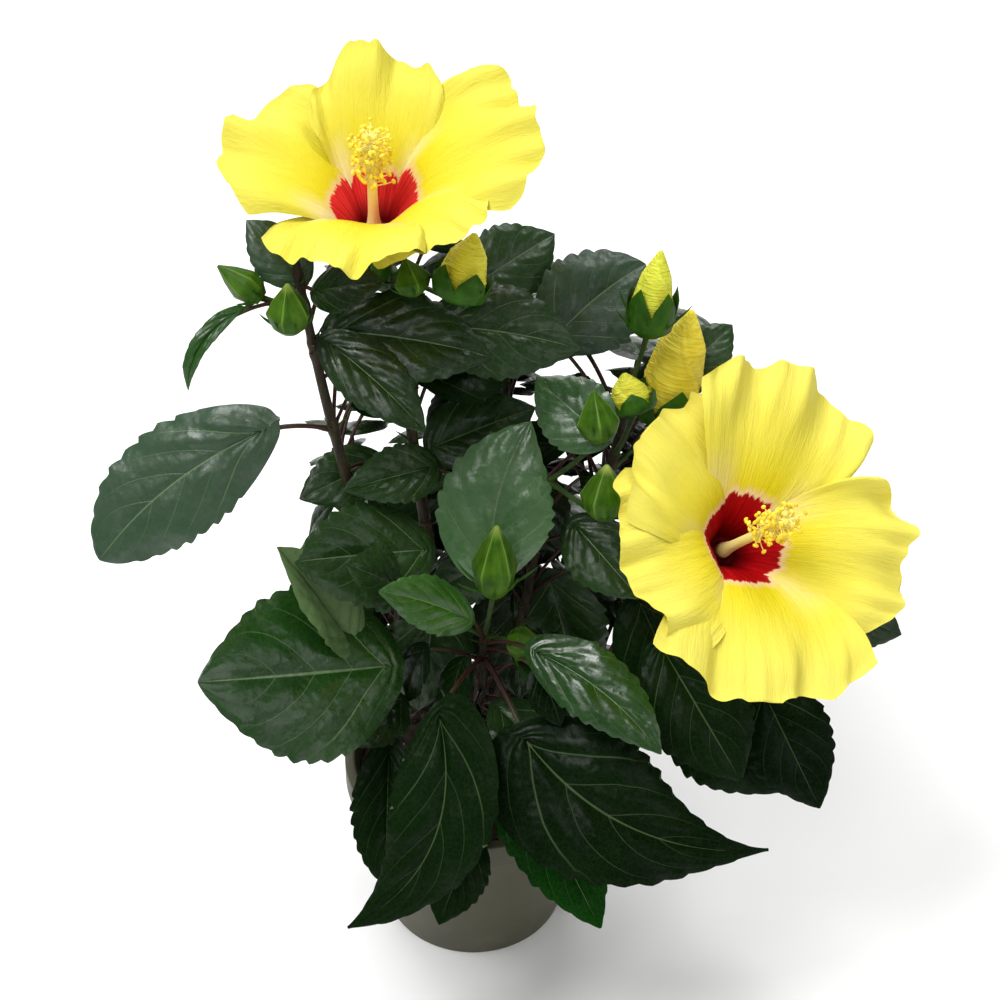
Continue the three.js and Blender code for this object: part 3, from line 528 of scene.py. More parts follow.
def bough(pile, name):
    """The woody lower stretch, with lengthwise furrows and old leaf scars."""
    _, _, _, length, first, radius, _, _ = STEMS[name]
    sides, dice = 20, np.random.default_rng(len(name) * 7 + int(length))
    share = np.linspace(0, first - GAP / 2 / length, int(first * length / BOUGH["step"]))
    points = stem_point(name, share)
    points = np.concatenate([[[0, 0, points[0][2] - 2]], points])
    radii = np.concatenate([[radius], stem_radius(name, share)])
    run = np.arange(len(points))[:, None] * BOUGH["step"]
    angle = circle(sides)[None, :]
    relief = np.ones((len(points), sides))
    for waves, pitch, size in BOUGH["furrows"]:
        relief += size * np.sin(waves * angle + run / pitch * 6 + dice.uniform(0, 6.3))
    for scar in np.arange(LEAF_SCARS["first"], run[-1, 0], LEAF_SCARS["apart"]):
        turn = dice.uniform(0, 2 * math.pi)
        aside = (angle - turn + math.pi) % (2 * math.pi) - math.pi
        across = ((run - scar) / LEAF_SCARS["breadth"]) ** 2
        relief += LEAF_SCARS["height"] * np.exp(-across - aside ** 2)
    tube(pile, points, radii[:, None] * relief, sides, shade=dice.uniform(0.3, 0.7))


def trunk(pile):
    """The short trunk from its root flare to the fork, furrowed and knobbed."""
    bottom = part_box("trunk")[0].z / MM - FORK
    rows, sides, dice = 40, 56, np.random.default_rng(5)
    t = np.linspace(0, 1, rows)
    foot_x, foot_y = TRUNK["foot"]
    centre = np.stack([foot_x * (1 - t), foot_y * (1 - t), mix(bottom, 0.0, t)], -1)
    radii = (mix(TRUNK["radius"], TRUNK["top"], t)
             + (TRUNK["flare"] - TRUNK["radius"]) * np.exp(-TRUNK["fall"] * t))
    angle = circle(sides)
    relief = np.ones((rows, sides))
    for waves, size in TRUNK_FURROWS:
        phase = dice.uniform(0, 6.3)
        relief += size * np.sin(waves * angle[None] + phase + 1.5 * t[:, None] * dice.uniform(-1, 1))
    side = (radii[:, None] * np.minimum(relief, 1.06))[..., None]
    body = centre[:, None] + flat_ring(sides)[None] * side
    crown = [body[-1] * [k, k, 1] + [0, 0, 1.5 * (1 - k)] for k in (0.92, 0.7, 0.4, 0.02)]
    pile.add(np.concatenate([body, crown]), wrap=True, flip=True)


def young_stem(pile, name):
    """The green-brown upper stretch that carries the leaves, swollen at every node."""
    first, length = STEMS[name][4], STEMS[name][3]
    share = np.linspace(first + GAP / 2 / length, 1, int((1 - first) * length / 1.6))
    radii = stem_radius(name, share) + lumps(name, share, 0.5)
    tip = stem_point(name, 1) + unit(stem_point(name, 1) - stem_point(name, 0.97)) * 1.2
    points = np.concatenate([stem_point(name, share), [tip]])
    tube(pile, points, np.concatenate([radii, [0.3]]), 14, slot=1)


# ---- leaves
def blade_axes(turn, pitch, roll):
    """Along, side and normal of a blade that points one way and is rolled about itself."""
    along = heading(turn, pitch)
    level = unit(np.cross(UP, along))
    side = around(level, np.cross(along, level), math.radians(roll))
    return along, side, np.cross(along, side)


def half_width(u, taper):
    """Half width at a share of the blade's length, against the most it reaches."""
    peak = LEAF["widest"] / (LEAF["widest"] + taper)
    most = peak ** LEAF["widest"] * (1 - peak) ** taper
    return u ** LEAF["widest"] * (1 - u) ** taper / most


def blade_surface(base, row, u, t, spread=1.0, raised=0.0, forward=0.0):
    """The middle surface of a blade: it curls down, folds along the midrib, bends aside."""
    turn, pitch, roll, length, wide, curl, fold, bend = row[4:12]
    taper = row[12] if len(row) > 12 else LEAF["taper"]
    along, side, normal = blade_axes(turn, pitch, roll)
    c, f, b = math.radians(curl), math.radians(fold), math.radians(bend)
    w = (wide * half_width(u, taper) + LEAF["edge"]) * spread
    lift = w * (np.abs(t) * math.sin(f) - LEAF["camber"] * t * t) + raised
    flat = w * t * math.cos(f)
    swing = b * (u - 0.5)
    x = (np.sin(c * u) / c - LEAF["lobe"] * t * t * (1 - u) ** LEAF["lobe_fall"]
         + lift * np.sin(c * u) - flat * np.sin(swing) + forward)
    y = flat * np.cos(swing) + 0.5 * b * (u * u - u)
    z = (np.cos(c * u) - 1) / c + lift * np.cos(c * u)
    return base + length * (x[..., None] * along + y[..., None] * side + z[..., None] * normal)


def leaf_base(name, row):
    """Where a leaf's petiole leaves its stem, its highest bow, and where its blade begins."""
    foot = stem_point(name, row[0])
    base = foot + heading(row[1], row[2]) * row[3]
    return foot, (foot + base) / 2 + UP * row[3] * ARCH, base


def leaf_marks(name, row, stations):
    """The points of a leaf that others keep clear of, as the solids' rule places them."""
    _, half, base = leaf_base(name, row)
    u, t = np.meshgrid(np.array(stations, float), np.array([-1.0, 0.0, 1.0]), indexing="ij")
    grid = blade_surface(base, row, u, t)
    for _ in range(2):
        dense = np.empty((2 * len(grid) - 1, *grid.shape[1:]))
        dense[::2], dense[1::2] = grid, (grid[1:] + grid[:-1]) / 2
        grid = np.swapaxes(dense, 0, 1)
    return np.concatenate([grid.reshape(-1, 3), [half, (half + base) / 2]])


def toothed(row, u, t, dice):
    """A blade's saw along its margin, from 0 to 1 in each tooth, and how deep it is cut."""
    teeth = round(TEETH["fewest"] + row[7] * TEETH["more"])
    count = np.clip((u - TEETH["from"]) / (1 - TEETH["from"]), 0, 1) * teeth
    count = count + np.where(t > 0, dice.uniform(0, 1), dice.uniform(0, 1))
    tooth = np.floor(count)
    step = count - tooth
    rising = np.sin(np.pi / 2 * np.minimum(step / TEETH["rise"], 1))
    saw = np.where(step < TEETH["rise"], rising, (1 - step) / (1 - TEETH["rise"]))
    least, spare = TEETH["uneven"]
    uneven = least + spare * ((tooth * 0.618 + np.where(t > 0, 0.3, 0.7)) % 1)
    depth = TEETH["depth"] * smooth(TEETH["from"], TEETH["from"] + 0.12, u) * uneven
    return saw, depth * smooth(0.72, 1, np.abs(t)) * dice.uniform(0.8, 1.15)


def quilted(u, t, veins, dice):
    """How far a blade stands up: domes between its veins, a waved margin and puckers."""
    far = np.abs(t)
    dome = np.abs(np.sin(np.pi * veins)) ** 0.8 * smooth(0, 0.2, far) * (1 - far ** 5)
    phase = dice.uniform(0, 6.3, 3)
    raised = VEINS["quilt"] * dome * (1 - u ** 3)
    raised -= VEINS["groove"] * np.exp(-(t / 0.06) ** 2) * (1 - u)
    turn = 2 * np.pi * MARGIN["waves"] * u
    wavy = np.sin(turn + phase[0] + np.where(t > 0, MARGIN["lag"], 0))
    wavy = wavy + 0.5 * np.sin(2 * turn + phase[1] * np.sign(t))
    raised += MARGIN["height"] * wavy * far ** 2 * smooth(0, 0.25, u) * (1 - u ** 6)
    for size, waves in PUCKER:
        lean, start = dice.uniform(0.2, 1.2), dice.uniform(0, 6.3)
        pucker = np.sin(2 * np.pi * waves * (u * math.cos(lean) + 0.5 * t * math.sin(lean)) + start)
        raised += size * pucker * smooth(0, 0.3, far) * smooth(0, 0.2, u) * (1 - u)
    return raised


def blade(pile, base, row, mesh, slot, dice):
    """One blade with toothed edges and a midrib and side veins that stand out below."""
    rows, cols = mesh
    s, q = np.linspace(0, 1, rows), np.linspace(-1, 1, cols)
    along = mix(s, (1 - np.cos(np.pi * s)) / 2, 0.5)
    across = np.sign(q) * np.abs(q) ** 1.35
    u, t = np.meshgrid(along, across, indexing="ij")
    far = np.abs(t)
    veins = VEINS["pairs"] * (u - VEINS["slope"] * far - VEINS["sweep"] * far ** 2)
    saw, depth = toothed(row, u, t, dice)
    raised = quilted(u, t, veins, dice)
    spread = (1 + (saw - 0.4) * depth) * mix(0.1, 1, smooth(0, 0.02, u))
    middle = blade_surface(base, row, u, t, spread, raised,
                           TEETH["forward"] * row[8] * saw * depth * (1 - u))
    thick = BLADE["thickness"] / 2 * (1 - far ** 6)
    ridge = MIDRIB["depth"] * (1 - 0.8 * u) * np.exp(-(t / MIDRIB["breadth"]) ** 2)
    branch = 0.16 * np.exp(-((veins + 0.5) % 1 - 0.5) ** 2 / 0.006) * (1 - far ** 4) * (1 - u)
    sheet(pile, middle, (thick, thick + ridge + branch), (slot, 1), across=(across + 1) / 2,
          along=along, shade=dice.uniform(0, 1))


def petiole(pile, name, row):
    """A leaf's stalk, thicker at either end, which runs out under the midrib."""
    foot, half, base = leaf_base(name, row)
    radius = 0.62 + row[7] * 0.004
    points = bowed(foot, half, base, 11)
    into = blade_surface(base, row, np.array([0.05, 0.1]), np.zeros(2))
    under = np.append(smooth(0.55, 1, np.linspace(0, 1, 11)), (1.2, 1.1))
    normal = blade_axes(*row[4:7])[2]
    points = np.concatenate([points, into]) - under[:, None] * radius * normal
    tube(pile, points, radius * np.array(PETIOLE), 8, slot=2)


def stipules(pile, name, row, dice):
    """The pair of short green points beside a petiole's foot."""
    foot = stem_point(name, row[0])
    out = heading(row[1], 0)
    for side in (-1, 1):
        turn = heading(row[1] + side * 80, 30 + dice.uniform(-20, 20))
        start = foot + turn * stem_radius(name, row[0]) * 0.8
        tip = start + (turn + out * 0.6 + UP * 0.5) * dice.uniform(3, 5)
        tube(pile, [start, (start + tip) / 2 + out * 0.4, tip], (0.55, 0.42, 0.08), 5, slot=3)


def in_space(space, points):
    _, _, centre, radii = space
    return (((points - np.array(centre)) / np.array(radii)) ** 2).sum(1).max() <= 1


def clear_of(points, taken, clearance):
    low, high = points.min(0) - clearance, points.max(0) + clearance
    near = taken[((taken > low) & (taken < high)).all(1)]
    if not len(near):
        return True
    return ((points[:, None] - near[None]) ** 2).sum(-1).min() > clearance ** 2


def fill(name, taken, growth, seed):
    """Leaves climb the mass's stem; one that would touch or stray is left out."""
    draw = seeded(seed)
    space = SPACES[name]
    length, first = STEMS[name][3:5]

    def within(span):
        return mix(*span, draw())

    grown = []
    steps = math.floor(length * (1 - first) / growth["spacing"])
    for k in range(steps + 1):
        share = mix(first + growth["first"], growth["last"], k / steps)
        for attempt in range(growth["tries"]):
            turn = within(space[1])
            row = [
                share, turn, within(growth["rise"]), within(growth["petiole"]),
                turn + within((-growth["swing"], growth["swing"])), within(growth["droop"]),
                within((-growth["roll"], growth["roll"])),
                within(growth["blade"]) * (1 - growth["shrink"] * attempt),
                within(growth["half_width"]), within(growth["curl"]), within(growth["fold"]), 0,
            ]
            marks = leaf_marks(name, row, FEW_STATIONS)
            if in_space(space, marks) and clear_of(marks, taken, growth["clearance"]):
                grown.append(row)
                taken = np.concatenate([taken, marks])
                break
    return grown, taken


# ---- buds
def sepals(pile, base, axes, length, radius, depth, shade, spread=0.0):
    """A calyx: a cup cleft into five broad sepals, each drawn to a point."""
    rows, sides = 18, 60
    aside = np.abs((circle(sides) * 5 / (2 * math.pi) + 0.5) % 1 - 0.5) * 2
    point = ((1 - aside) ** 0.62)[None]
    s = np.linspace(0, 1, rows)[:, None]
    height = s * (1 - depth + depth * point)
    swell = np.interp(height, (0, 0.14, 0.4, 0.75, 1), (0.5, 0.94, 1.06, 1.04, 0.86))
    keel = 1 + 0.035 * ((1 - aside) ** 4)[None] - 0.03 * (aside ** 6)[None]
    out = radius * (swell * keel + spread * smooth(0.5, 1, s) * point)
    for inset, flip in ((0.0, True), (0.4, False)):
        wall = np.maximum(out - inset * smooth(1.0, 0.86, s), 0.2)
        pile.add(turned(base, axes, height * length, wall), wrap=True, flip=flip, shade=shade)


def closed_bud(pile, base, axes, length, radius, shade):
    """Five sepals still shut, with raised seams that run up to the point."""
    s = np.linspace(0, 1, 30)[:, None]
    seam = np.abs(np.cos(circle(60) * 2.5))[None]
    rib = 0.93 + (0.1 * seam ** 14 + 0.05 * seam ** 2) * smooth(0.05, 0.4, s)
    wall = radius * np.interp(s, BUD["heights"], BUD["swell"]) * rib
    pile.add(capped(turned(base, axes, s * length, wall)), 1, wrap=True, flip=True, shade=shade)


def furled(pile, base, axes, length, radius, opened):
    """Petals rolled about each other: a body with three twisting folds and a blunt tip."""
    s, angle = np.linspace(0, 1, 46)[:, None], circle(64)[None]
    swell = list(BUD["swell"])
    swell[3] += BUD["open"] * opened
    out = radius * np.interp(s, BUD["heights"], swell) ** 0.9
    twist = angle + s ** 1.2 * 2.6
    fold = (twist * 3 / (2 * math.pi)) % 1
    relief = 1 - 0.17 * smooth(0.05, 0.5, s) * (1 - fold ** 0.5)
    wrinkle = 1 + 0.012 * np.sin(s * length * 3.1 + 2.4 * np.sin(angle * 2 + 1))
    wall = out * relief * wrinkle * 0.94
    pile.add(capped(turned(base, axes, s * length, wall)), wrap=True, flip=True, shade=opened)


def bract(pile, root, along, out, length, radius, spread):
    """A slender green blade that stands away from a bud's foot and turns up at its tip."""
    spread = math.radians(spread)
    tip = root + along * length * math.cos(spread) + out * length * math.sin(spread)
    middle = (root + tip) / 2 + out * length * 0.09
    radii = radius * np.array([1, 1.1, 1.05, 0.9, 0.7, 0.4, 0.1])
    tube(pile, bowed(root, middle, tip, 7), radii, 6, slot=2)


def bud(pile, furls, twigs, name, row, dice):
    """One bud on its stalk: calyx, bracts, and its petals as far as they stand out."""
    share, turn, rise, reach, bud_turn, pitch, length, radius, opened = row
    foot = stem_point(name, share)
    base = foot + heading(turn, rise) * reach
    axes = blade_axes(bud_turn, pitch, 0)
    along, side, normal = axes
    shade = dice.uniform(0, 0.4)
    stalk = bowed(foot, (foot + base) / 2 - along * reach * 0.02, base, 8)
    tube(twigs, np.concatenate([stalk, [base + along * 1.5]]), BUD_STALK, 9, slot=3)
    if opened > OPEN_BUD:
        furled(furls, base, axes, length, radius, opened)
        sepals(pile, base - along * 0.4, axes, length * mix(0.78, 0.44, opened), radius * 1.03,
               mix(0.5, 0.62, opened), shade, 0.14 * opened)
    else:
        closed_bud(pile, base, axes, length, radius, opened)
    for k in range(BRACTS):
        out = around(side, normal, 2 * math.pi * k / BRACTS + dice.uniform(-0.2, 0.2))
        bract(pile, base + along * length * 0.04 + out * radius * 0.35, along, out,
              max(8, length * 0.5) * dice.uniform(0.8, 1.1), 0.62, 48 + dice.uniform(-14, 14))


# ---- open blooms
def bloom_place(bloom):
    """A bloom's right, back and axis as rows, and its throat."""
    axis = unit(np.array(bloom["axis"], float))
    right = unit(np.cross([0.0, 1.0, 0.0], axis))
    return np.array([right, np.cross(axis, right), axis]), np.array(bloom["throat"], float)


def petal_surface(bloom, k, u, v, raised=0.0):
    """The middle surface of one petal, a fan in the bloom's own frame: a steep narrow foot
    that flares, and a blunt margin drawn in at its corners."""
    turn, flare, scale, breadth, corner = (*bloom["petals"][k], PETAL["corner"])[:5]
    out = heading(bloom["first"] + 72 * k + turn, 0)
    across = np.cross(UP, out)
    reach = bloom["reach"] * scale
    tip, steep = math.radians(bloom["flare"] + flare), math.radians(PETAL["throat"])
    knots = np.linspace(0, 1, PETAL["knots"])
    halves = (knots[1:] + knots[:-1]) / 2
    climb = tip + (steep - tip) * (1 - smooth(*PETAL["bend"], halves))
    level = PETAL["start"] + np.concatenate([[0], np.cumsum(np.cos(climb))]) * knots[1]
    height = np.concatenate([[0], np.cumsum(np.sin(climb))]) * knots[1]
    far = u * (1 - corner * np.abs(v) ** PETAL["corner_power"])
    level, height = np.interp(far, knots, level), np.interp(far, knots, height)
    swell = np.sin(np.pi / 2 * np.minimum(far / PETAL["widest"], 1)) ** PETAL["swell"]
    w = PETAL["foot"] + PETAL["width"] * breadth * swell
    wave = np.sin(2 * np.pi * PETAL["waves"] * v + PETAL["shift"] * k)
    h = (height + PETAL["lift"] * v * mix(PETAL["lift_foot"], 1, u) + PETAL["cup"] * v * v * u
         + PETAL["ruffle"] * u * u * wave + raised)
    return reach * (level[..., None] * out + h[..., None] * UP + (w * v)[..., None] * across)


def petal(pile, bloom, k, shades, dice):
    """One petal, creased from its foot and frilled along its margin."""
    axes, throat = bloom_place(bloom)
    s, v = np.linspace(0, 1, 50), np.linspace(-1, 1, 73)
    along = mix(s, np.sin(np.pi / 2 * s), 0.3)
    u, v = np.meshgrid(along, v, indexing="ij")
    phase = dice.uniform(0, 2 * np.pi, 24)
    rim = np.maximum(smooth(0.6, 1, u), smooth(0.7, 1, np.abs(v)) * smooth(0.35, 0.8, u))
    frill, notch, crease = np.zeros((3, *u.shape))
    for n, (waves, size) in enumerate(FRILL["waves"]):
        at = 2 * np.pi * waves * v + phase[n]
        frill += size * np.sin(at + 1.6 * u)
        notch += size * np.sin(at * 0.8 + phase[n + 6])
    for n, (waves, size) in enumerate(FRILL["creases"]):
        fan = v + 0.05 * np.sin(7 * u + phase[n + 8]) * v
        uneven = 0.6 + 0.4 * np.sin(9 * u + phase[n + 16] + 3 * v)
        crease += size * np.sin(2 * np.pi * waves * fan + phase[n + 12]) * uneven
    crease *= smooth(0.12, 0.45, u)
    middle = petal_surface(bloom, k, u * (1 + notch * smooth(0.6, 1, u)),
                           v * (1 + notch * smooth(0.7, 1, np.abs(v)) * u),
                           frill * rim + crease - FRILL["recurve"] * smooth(0.7, 1, u) ** 2)
    half = 0.22 * (1 - smooth(0.9, 1, np.maximum(u, np.abs(v))) * 0.9)
    sheet(pile, throat + middle @ axes, half, (0, 1), across=(v[0] + 1) / 2, along=along,
          shade=dice.uniform(*shades))


def corolla(pile, bloom, shades, dice):
    """Five petals about a short throat."""
    axes, throat = bloom_place(bloom)
    for k in range(5):
        petal(pile, bloom, k, shades, dice)
    low, _, high = THROAT["heights"]
    heights = np.linspace(low, high, 8)
    cup = [throat + axes[2] * h for h in heights]
    radii = np.interp(heights, THROAT["heights"], THROAT["radii"])
    pile.add(capped(rings(cup, radii, 30))[:-1], 2, wrap=True, flip=True)
    pile.add(capped(rings(cup, radii - 0.8, 30))[:-1] + axes[2] * 0.6, 2, wrap=True)


def small_ball(pile, centre, along, size, slot, shade=0.5):
    """A small rounded knob, given by its half length and its radius."""
    t = np.linspace(0, math.pi, 6)
    points = centre + np.outer(-np.cos(t) * size[0], along)
    tube(pile, points, np.maximum(np.sin(t) * size[1], 0.02), 8, slot=slot, shade=shade)


def column(pile, bloom, dice):
    """The staminal column: filaments with golden anthers, and five styles at its tip."""
    axes, throat = bloom_place(bloom)
    axis = axes[2]
    foot = THROAT["heights"][-1] + GAP
    length = bloom["reach"] * bloom["column"]

    def at(t):
        return throat + axis * mix(foot, length, t)

    share = np.linspace(0, 1, 26)
    radii = mix(COLUMN["radius"], COLUMN["tip"], share) * (1 + 0.5 * np.exp(-(share / 0.12) ** 2))
    tube(pile, [at(t) for t in share], np.append(radii[:-1], 0.3), 16)
    last = COLUMN["anthers"] - 1
    for k in range(last + 1):
        t = mix(COLUMN["from"], 0.99, (k / last) ** 0.8)
        angle = math.radians(COLUMN["spiral"] * k)
        out = unit(around(axes[0], axes[1], angle) + axis * dice.uniform(0, 1.1))
        root = at(t)
        tip = root + out * dice.uniform(*ANTHER["reach"])
        bend = (root + tip) / 2 + axis * dice.uniform(-0.4, 0.5)
        tube(pile, bowed(root, bend, tip, 5), ANTHER["filament"], 5)
        lying = unit(np.cross(out, dice.normal(size=3)))
        small_ball(pile, tip, lying, ANTHER["size"], 1, dice.uniform(0, 1))
    for k in range(5):
        out = unit(around(axes[0], axes[1], 2 * math.pi * k / 5 + 0.3) * 0.75 + axis)
        tip = at(1) + out * STIGMA["reach"]
        style = bowed(at(0.98), at(1) + axis * 2 + out * 0.6, tip, 6)
        tube(pile, style, STIGMA["style"], 7)
        small_ball(pile, tip, out, STIGMA["size"], 2)


def calyx(pile, twigs, bloom, dice):
    """Stalk, calyx and bracts under an open bloom."""
    axes, throat = bloom_place(bloom)
    right, back, axis = axes
    mouth = throat + axis * (THROAT["heights"][0] - GAP)
    seat = mouth - axis * CALYX["length"]
    foot = stem_point(bloom["stem"], 1)
    stalk = bowed(foot, (foot + seat) / 2 - axis * 0.6, seat, 9)
    tube(twigs, np.concatenate([stalk, [seat + axis * 3]]), BLOOM_STALK, 12, slot=3)
    sepals(pile, seat, (axis, right, back), CALYX["length"] + 4, CALYX["radius"] * 1.02, 0.45,
           0.2, 0.7)
    for k in range(BRACTS):
        out = around(right, back, 2 * math.pi * k / BRACTS + dice.uniform(-0.1, 0.1))
        bract(pile, seat + axis + out * 2, axis, out, CALYX["lobe_length"], 0.8, CALYX["spread"])


# ---- pot and soil
def rounded(corners, radius, steps=5):
    """A profile's corners eased by short arcs, with its straight stretches kept."""
    out = [corners[0]]
    for before, at, after in zip(corners, corners[1:], corners[2:]):
        before, at, after = (np.array(p, float) for p in (before, at, after))
        back, ahead = unit(before - at), unit(after - at)
        ease = min(radius, 0.45 * np.linalg.norm(before - at), 0.45 * np.linalg.norm(after - at))
        out.extend(bowed(at + back * ease, at + (back + ahead) * ease * 0.25, at + ahead * ease,
                         steps))
    out.append(corners[-1])
    return [tuple(p) for p in out]


def pot_radius(z):
    """How far the pot's tapered wall stands from its axis at a height."""
    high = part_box("pot")[1]
    return mix(POT["base"], high.x / MM - 0.1 - POT["rim_step"], z / (high.z / MM))


def pot():
    """A plain nursery pot with a rim band, turned smooth inside its solid's room."""
    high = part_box("pot")[1]
    height, rim = high.z / MM, high.x / MM - 0.1
    base, wall = POT["base"], POT["wall"]
    band, floor = height - POT["rim_band"], POT["floor"]
    corners = [
        (0.01, 0.6), (base - 6, 0.6), (base - 5, 0), (base, 0), (pot_radius(band), band),
        (rim, band + 0.6), (rim, height), (pot_radius(height) - wall, height),
        (pot_radius(band) - wall, band), (pot_radius(floor) - wall, floor), (0.01, floor),
    ]
    pile = Pile("pot_body")
    ring = flat_ring(128)
    profile = [ring * r + UP * z for r, z in rounded(corners, POT["fillet"])]
    pile.add(np.array(profile), wrap=True, flip=True)
    return pile


def crumb(size, turn, dice):
    """A rough six-sided lump about its own centre."""
    lump = [[c * s * (1 + dice.uniform(-0.25, 0.25)) for c in (math.cos(a), math.sin(a))] + [h]
            for h, s in ((-0.8, 0.4), (-0.2, 1), (0.5, 0.8), (0.8, 0.25)) for a in circle(6)]
    lump = np.array(lump).reshape(4, 6, 3) * size * [1, dice.uniform(0.5, 1), 0.7]
    c, s = math.cos(turn), math.sin(turn)
    return lump @ np.array([[c, s, 0], [-s, c, 0], [0, 0, 1]])


def soil(dice):
    """Potting mix: an uneven top that dips to the wall, with crumbs and bark chips on it."""
    low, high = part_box("soil")
    top, bottom = high.z / MM, low.z / MM
    wide = high.x / MM
    pile = Pile("soil_bed")
    sides = 150
    radius = np.linspace(0, 1, 46) * (wide - 0.2)
    angle = circle(sides)
    x, y = radius[:, None] * np.cos(angle), radius[:, None] * np.sin(angle)
    bumps = np.zeros_like(x)
    for size, pitch in SOIL["bumps"]:
        turn, phase = dice.uniform(0, 6.3, 2)
        cx, cy = math.cos(turn), math.sin(turn)
        ridge = np.sin((x * cx + y * cy) / pitch * 2 * math.pi + phase)
        bumps += size * ridge * np.sin((x * cy - y * cx) / pitch * 5.1 + 2 * phase)
    z = top - SOIL["sunk"] + bumps - 1.5 * smooth(0.86, 1, radius / wide)[:, None]
    bed = np.stack([x, y, np.minimum(z, top)], -1)
    foot = (pot_radius(bottom) - POT["wall"] - GAP) / (wide - 0.2)
    skirt = np.stack([x[-1] * foot, y[-1] * foot, np.full(sides, bottom)], -1)
    pile.add(np.concatenate([bed, [skirt, skirt * [0.01, 0.01, 1]]]), wrap=True)
    for _ in range(SOIL["crumbs"]):
        away, turn = math.sqrt(dice.uniform(0.05, 1)) * (wide - 4), dice.uniform(0, 2 * math.pi)
        size = dice.uniform(0.8, 2.3)
        spot = np.array([away * math.cos(turn), away * math.sin(turn), top - 2.0 - size * 0.3])
        lump = crumb(size, turn * 3, dice)
        pile.add(spot + lump, wrap=True, flip=True, shade=dice.uniform(0, 1))
    return pile


# ---- materials
class Value:
    """A node's output that sums like a number; each sum adds a node of its own."""

    def __init__(self, shader, socket):
        self.shader, self.socket = shader, socket

    def math(self, operation, other=0.0):
        return self.shader.node("ShaderNodeMath", {0: self, 1: other}, operation=operation)

    def __add__(self, other):
        return self.math("ADD", other)

    def __sub__(self, other):
        return self.math("SUBTRACT", other)

    def __mul__(self, other):
        return self.math("MULTIPLY", other)

    def __abs__(self):
        return self.math("ABSOLUTE")

    def ramp(self, low, high, to_low=0.0, to_high=1.0):
        """A soft step of the value between two limits."""
        return self.shader.node("ShaderNodeMapRange", {
            0: self, 1: low, 2: high, 3: to_low, 4: to_high}, interpolation_type="SMOOTHSTEP")

    def spread(self, middle, reach):
        """The value's common range, dealt out evenly to either side of a middle."""
        return self.ramp(0.3, 0.7, middle - reach, middle + reach)


class Shader:
    """A material whose nodes are made by short calls, each of which returns a Value."""

    def __init__(self, name):
        self.material = bpy.data.materials.new(name)
        self.material.use_nodes = True
        self.tree = self.material.node_tree

    def feed(self, target, value):
        """Gives an input a number, a colour or another node's output."""
        if isinstance(value, Value):
            self.tree.links.new(value.socket, target)
        elif target.type == "RGBA":
            target.default_value = (*value, 1)
        else:
            target.default_value = value

    def node(self, kind, inputs=(), out=0, **settings):
        node = self.tree.nodes.new(kind)
        for name, value in settings.items():
            setattr(node, name, value)
        for key, value in dict(inputs).items():
            self.feed(node.inputs[key], value)
        return Value(self, node.outputs[out])

    def blend(self, factor, a, b, how="MIX"):
        """Two colours, mixed."""
        node = self.tree.nodes.new("ShaderNodeMix")
        node.data_type, node.blend_type = "RGBA", how
        for key, value in (("Factor", factor), ("A", a), ("B", b)):
            self.feed(next(s for s in node.inputs if s.name == key and s.enabled), value)
        return Value(self, next(s for s in node.outputs if s.enabled))

    def pattern(self):
        """Across and along each grid, from 0 to 1."""
        x = self.node("ShaderNodeSeparateXYZ", {0: self.node("ShaderNodeUVMap", uv_map="Pattern")})
        return x, Value(self, x.socket.node.outputs[1])

    def vector(self, x, y, z):
        return self.node("ShaderNodeCombineXYZ", {0: x, 1: y, 2: z})

    def wound(self, around, along, twist=0.0):
        """A vector that winds about a wrapped grid and closes on itself."""
        x, y = self.pattern()
        turn = (x + y * twist) * (2 * math.pi)
        return self.vector(turn.math("COSINE") * around, turn.math("SINE") * around,
                           y * along + self.shade() * GRID_STEP)

    def shade(self):
        """The number that each grid has for itself."""
        return self.node("ShaderNodeAttribute", out=2, attribute_name="shade")

    def place(self):
        return self.node("ShaderNodeTexCoord", out=3)

    def noise(self, scale, detail=3.0, rough=0.55, vector=None, distort=0.0):
        return self.node("ShaderNodeTexNoise", {
            "Vector": vector or self.place(), "Scale": scale, "Detail": detail,
            "Roughness": rough, "Distortion": distort})

    def cells(self, scale, feature="F1"):
        return self.node("ShaderNodeTexVoronoi", {"Vector": self.place(), "Scale": scale},
                         feature=feature)

    def finish(self, colour, roughness, gloss, height, depth, strength):
        """Gives the surface its colour, roughness, specular level and relief."""
        surface = self.tree.nodes["Principled BSDF"].inputs
        relief = self.node("ShaderNodeBump", {
            "Height": height, "Distance": depth, "Strength": strength})
        for key, value in (("Base Color", colour), ("Roughness", roughness),
                           ("Specular IOR Level", gloss), ("Normal", relief)):
            self.feed(surface[key], value)
        return self.material


def rib_pattern(sh):
    """Where a blade's midrib and side veins run, as masks, and their fine network."""
    x, along = sh.pattern()
    t = abs(x * 2.0 - 1.0)
    lag = t * VEINS["slope"] + t * t * VEINS["sweep"] + (sh.noise(38, 2) - 0.5) * 0.06
    run = (along - lag) * (math.pi * VEINS["pairs"])
    lowest = abs(along - lag).ramp(0.011, 0.004)
    side = abs(run.math("SINE")).ramp(0.085, 0.02, 0, 0.7).math("MAXIMUM", lowest)
    side = side * t.ramp(0.95, 0.6, 0.1, 1.0) * along.ramp(0.95, 0.6, 0.2, 1.0)
    net = sh.cells(430, "DISTANCE_TO_EDGE").ramp(0.12, 0.02)
    return t.ramp(0.024, 0.008), side, net


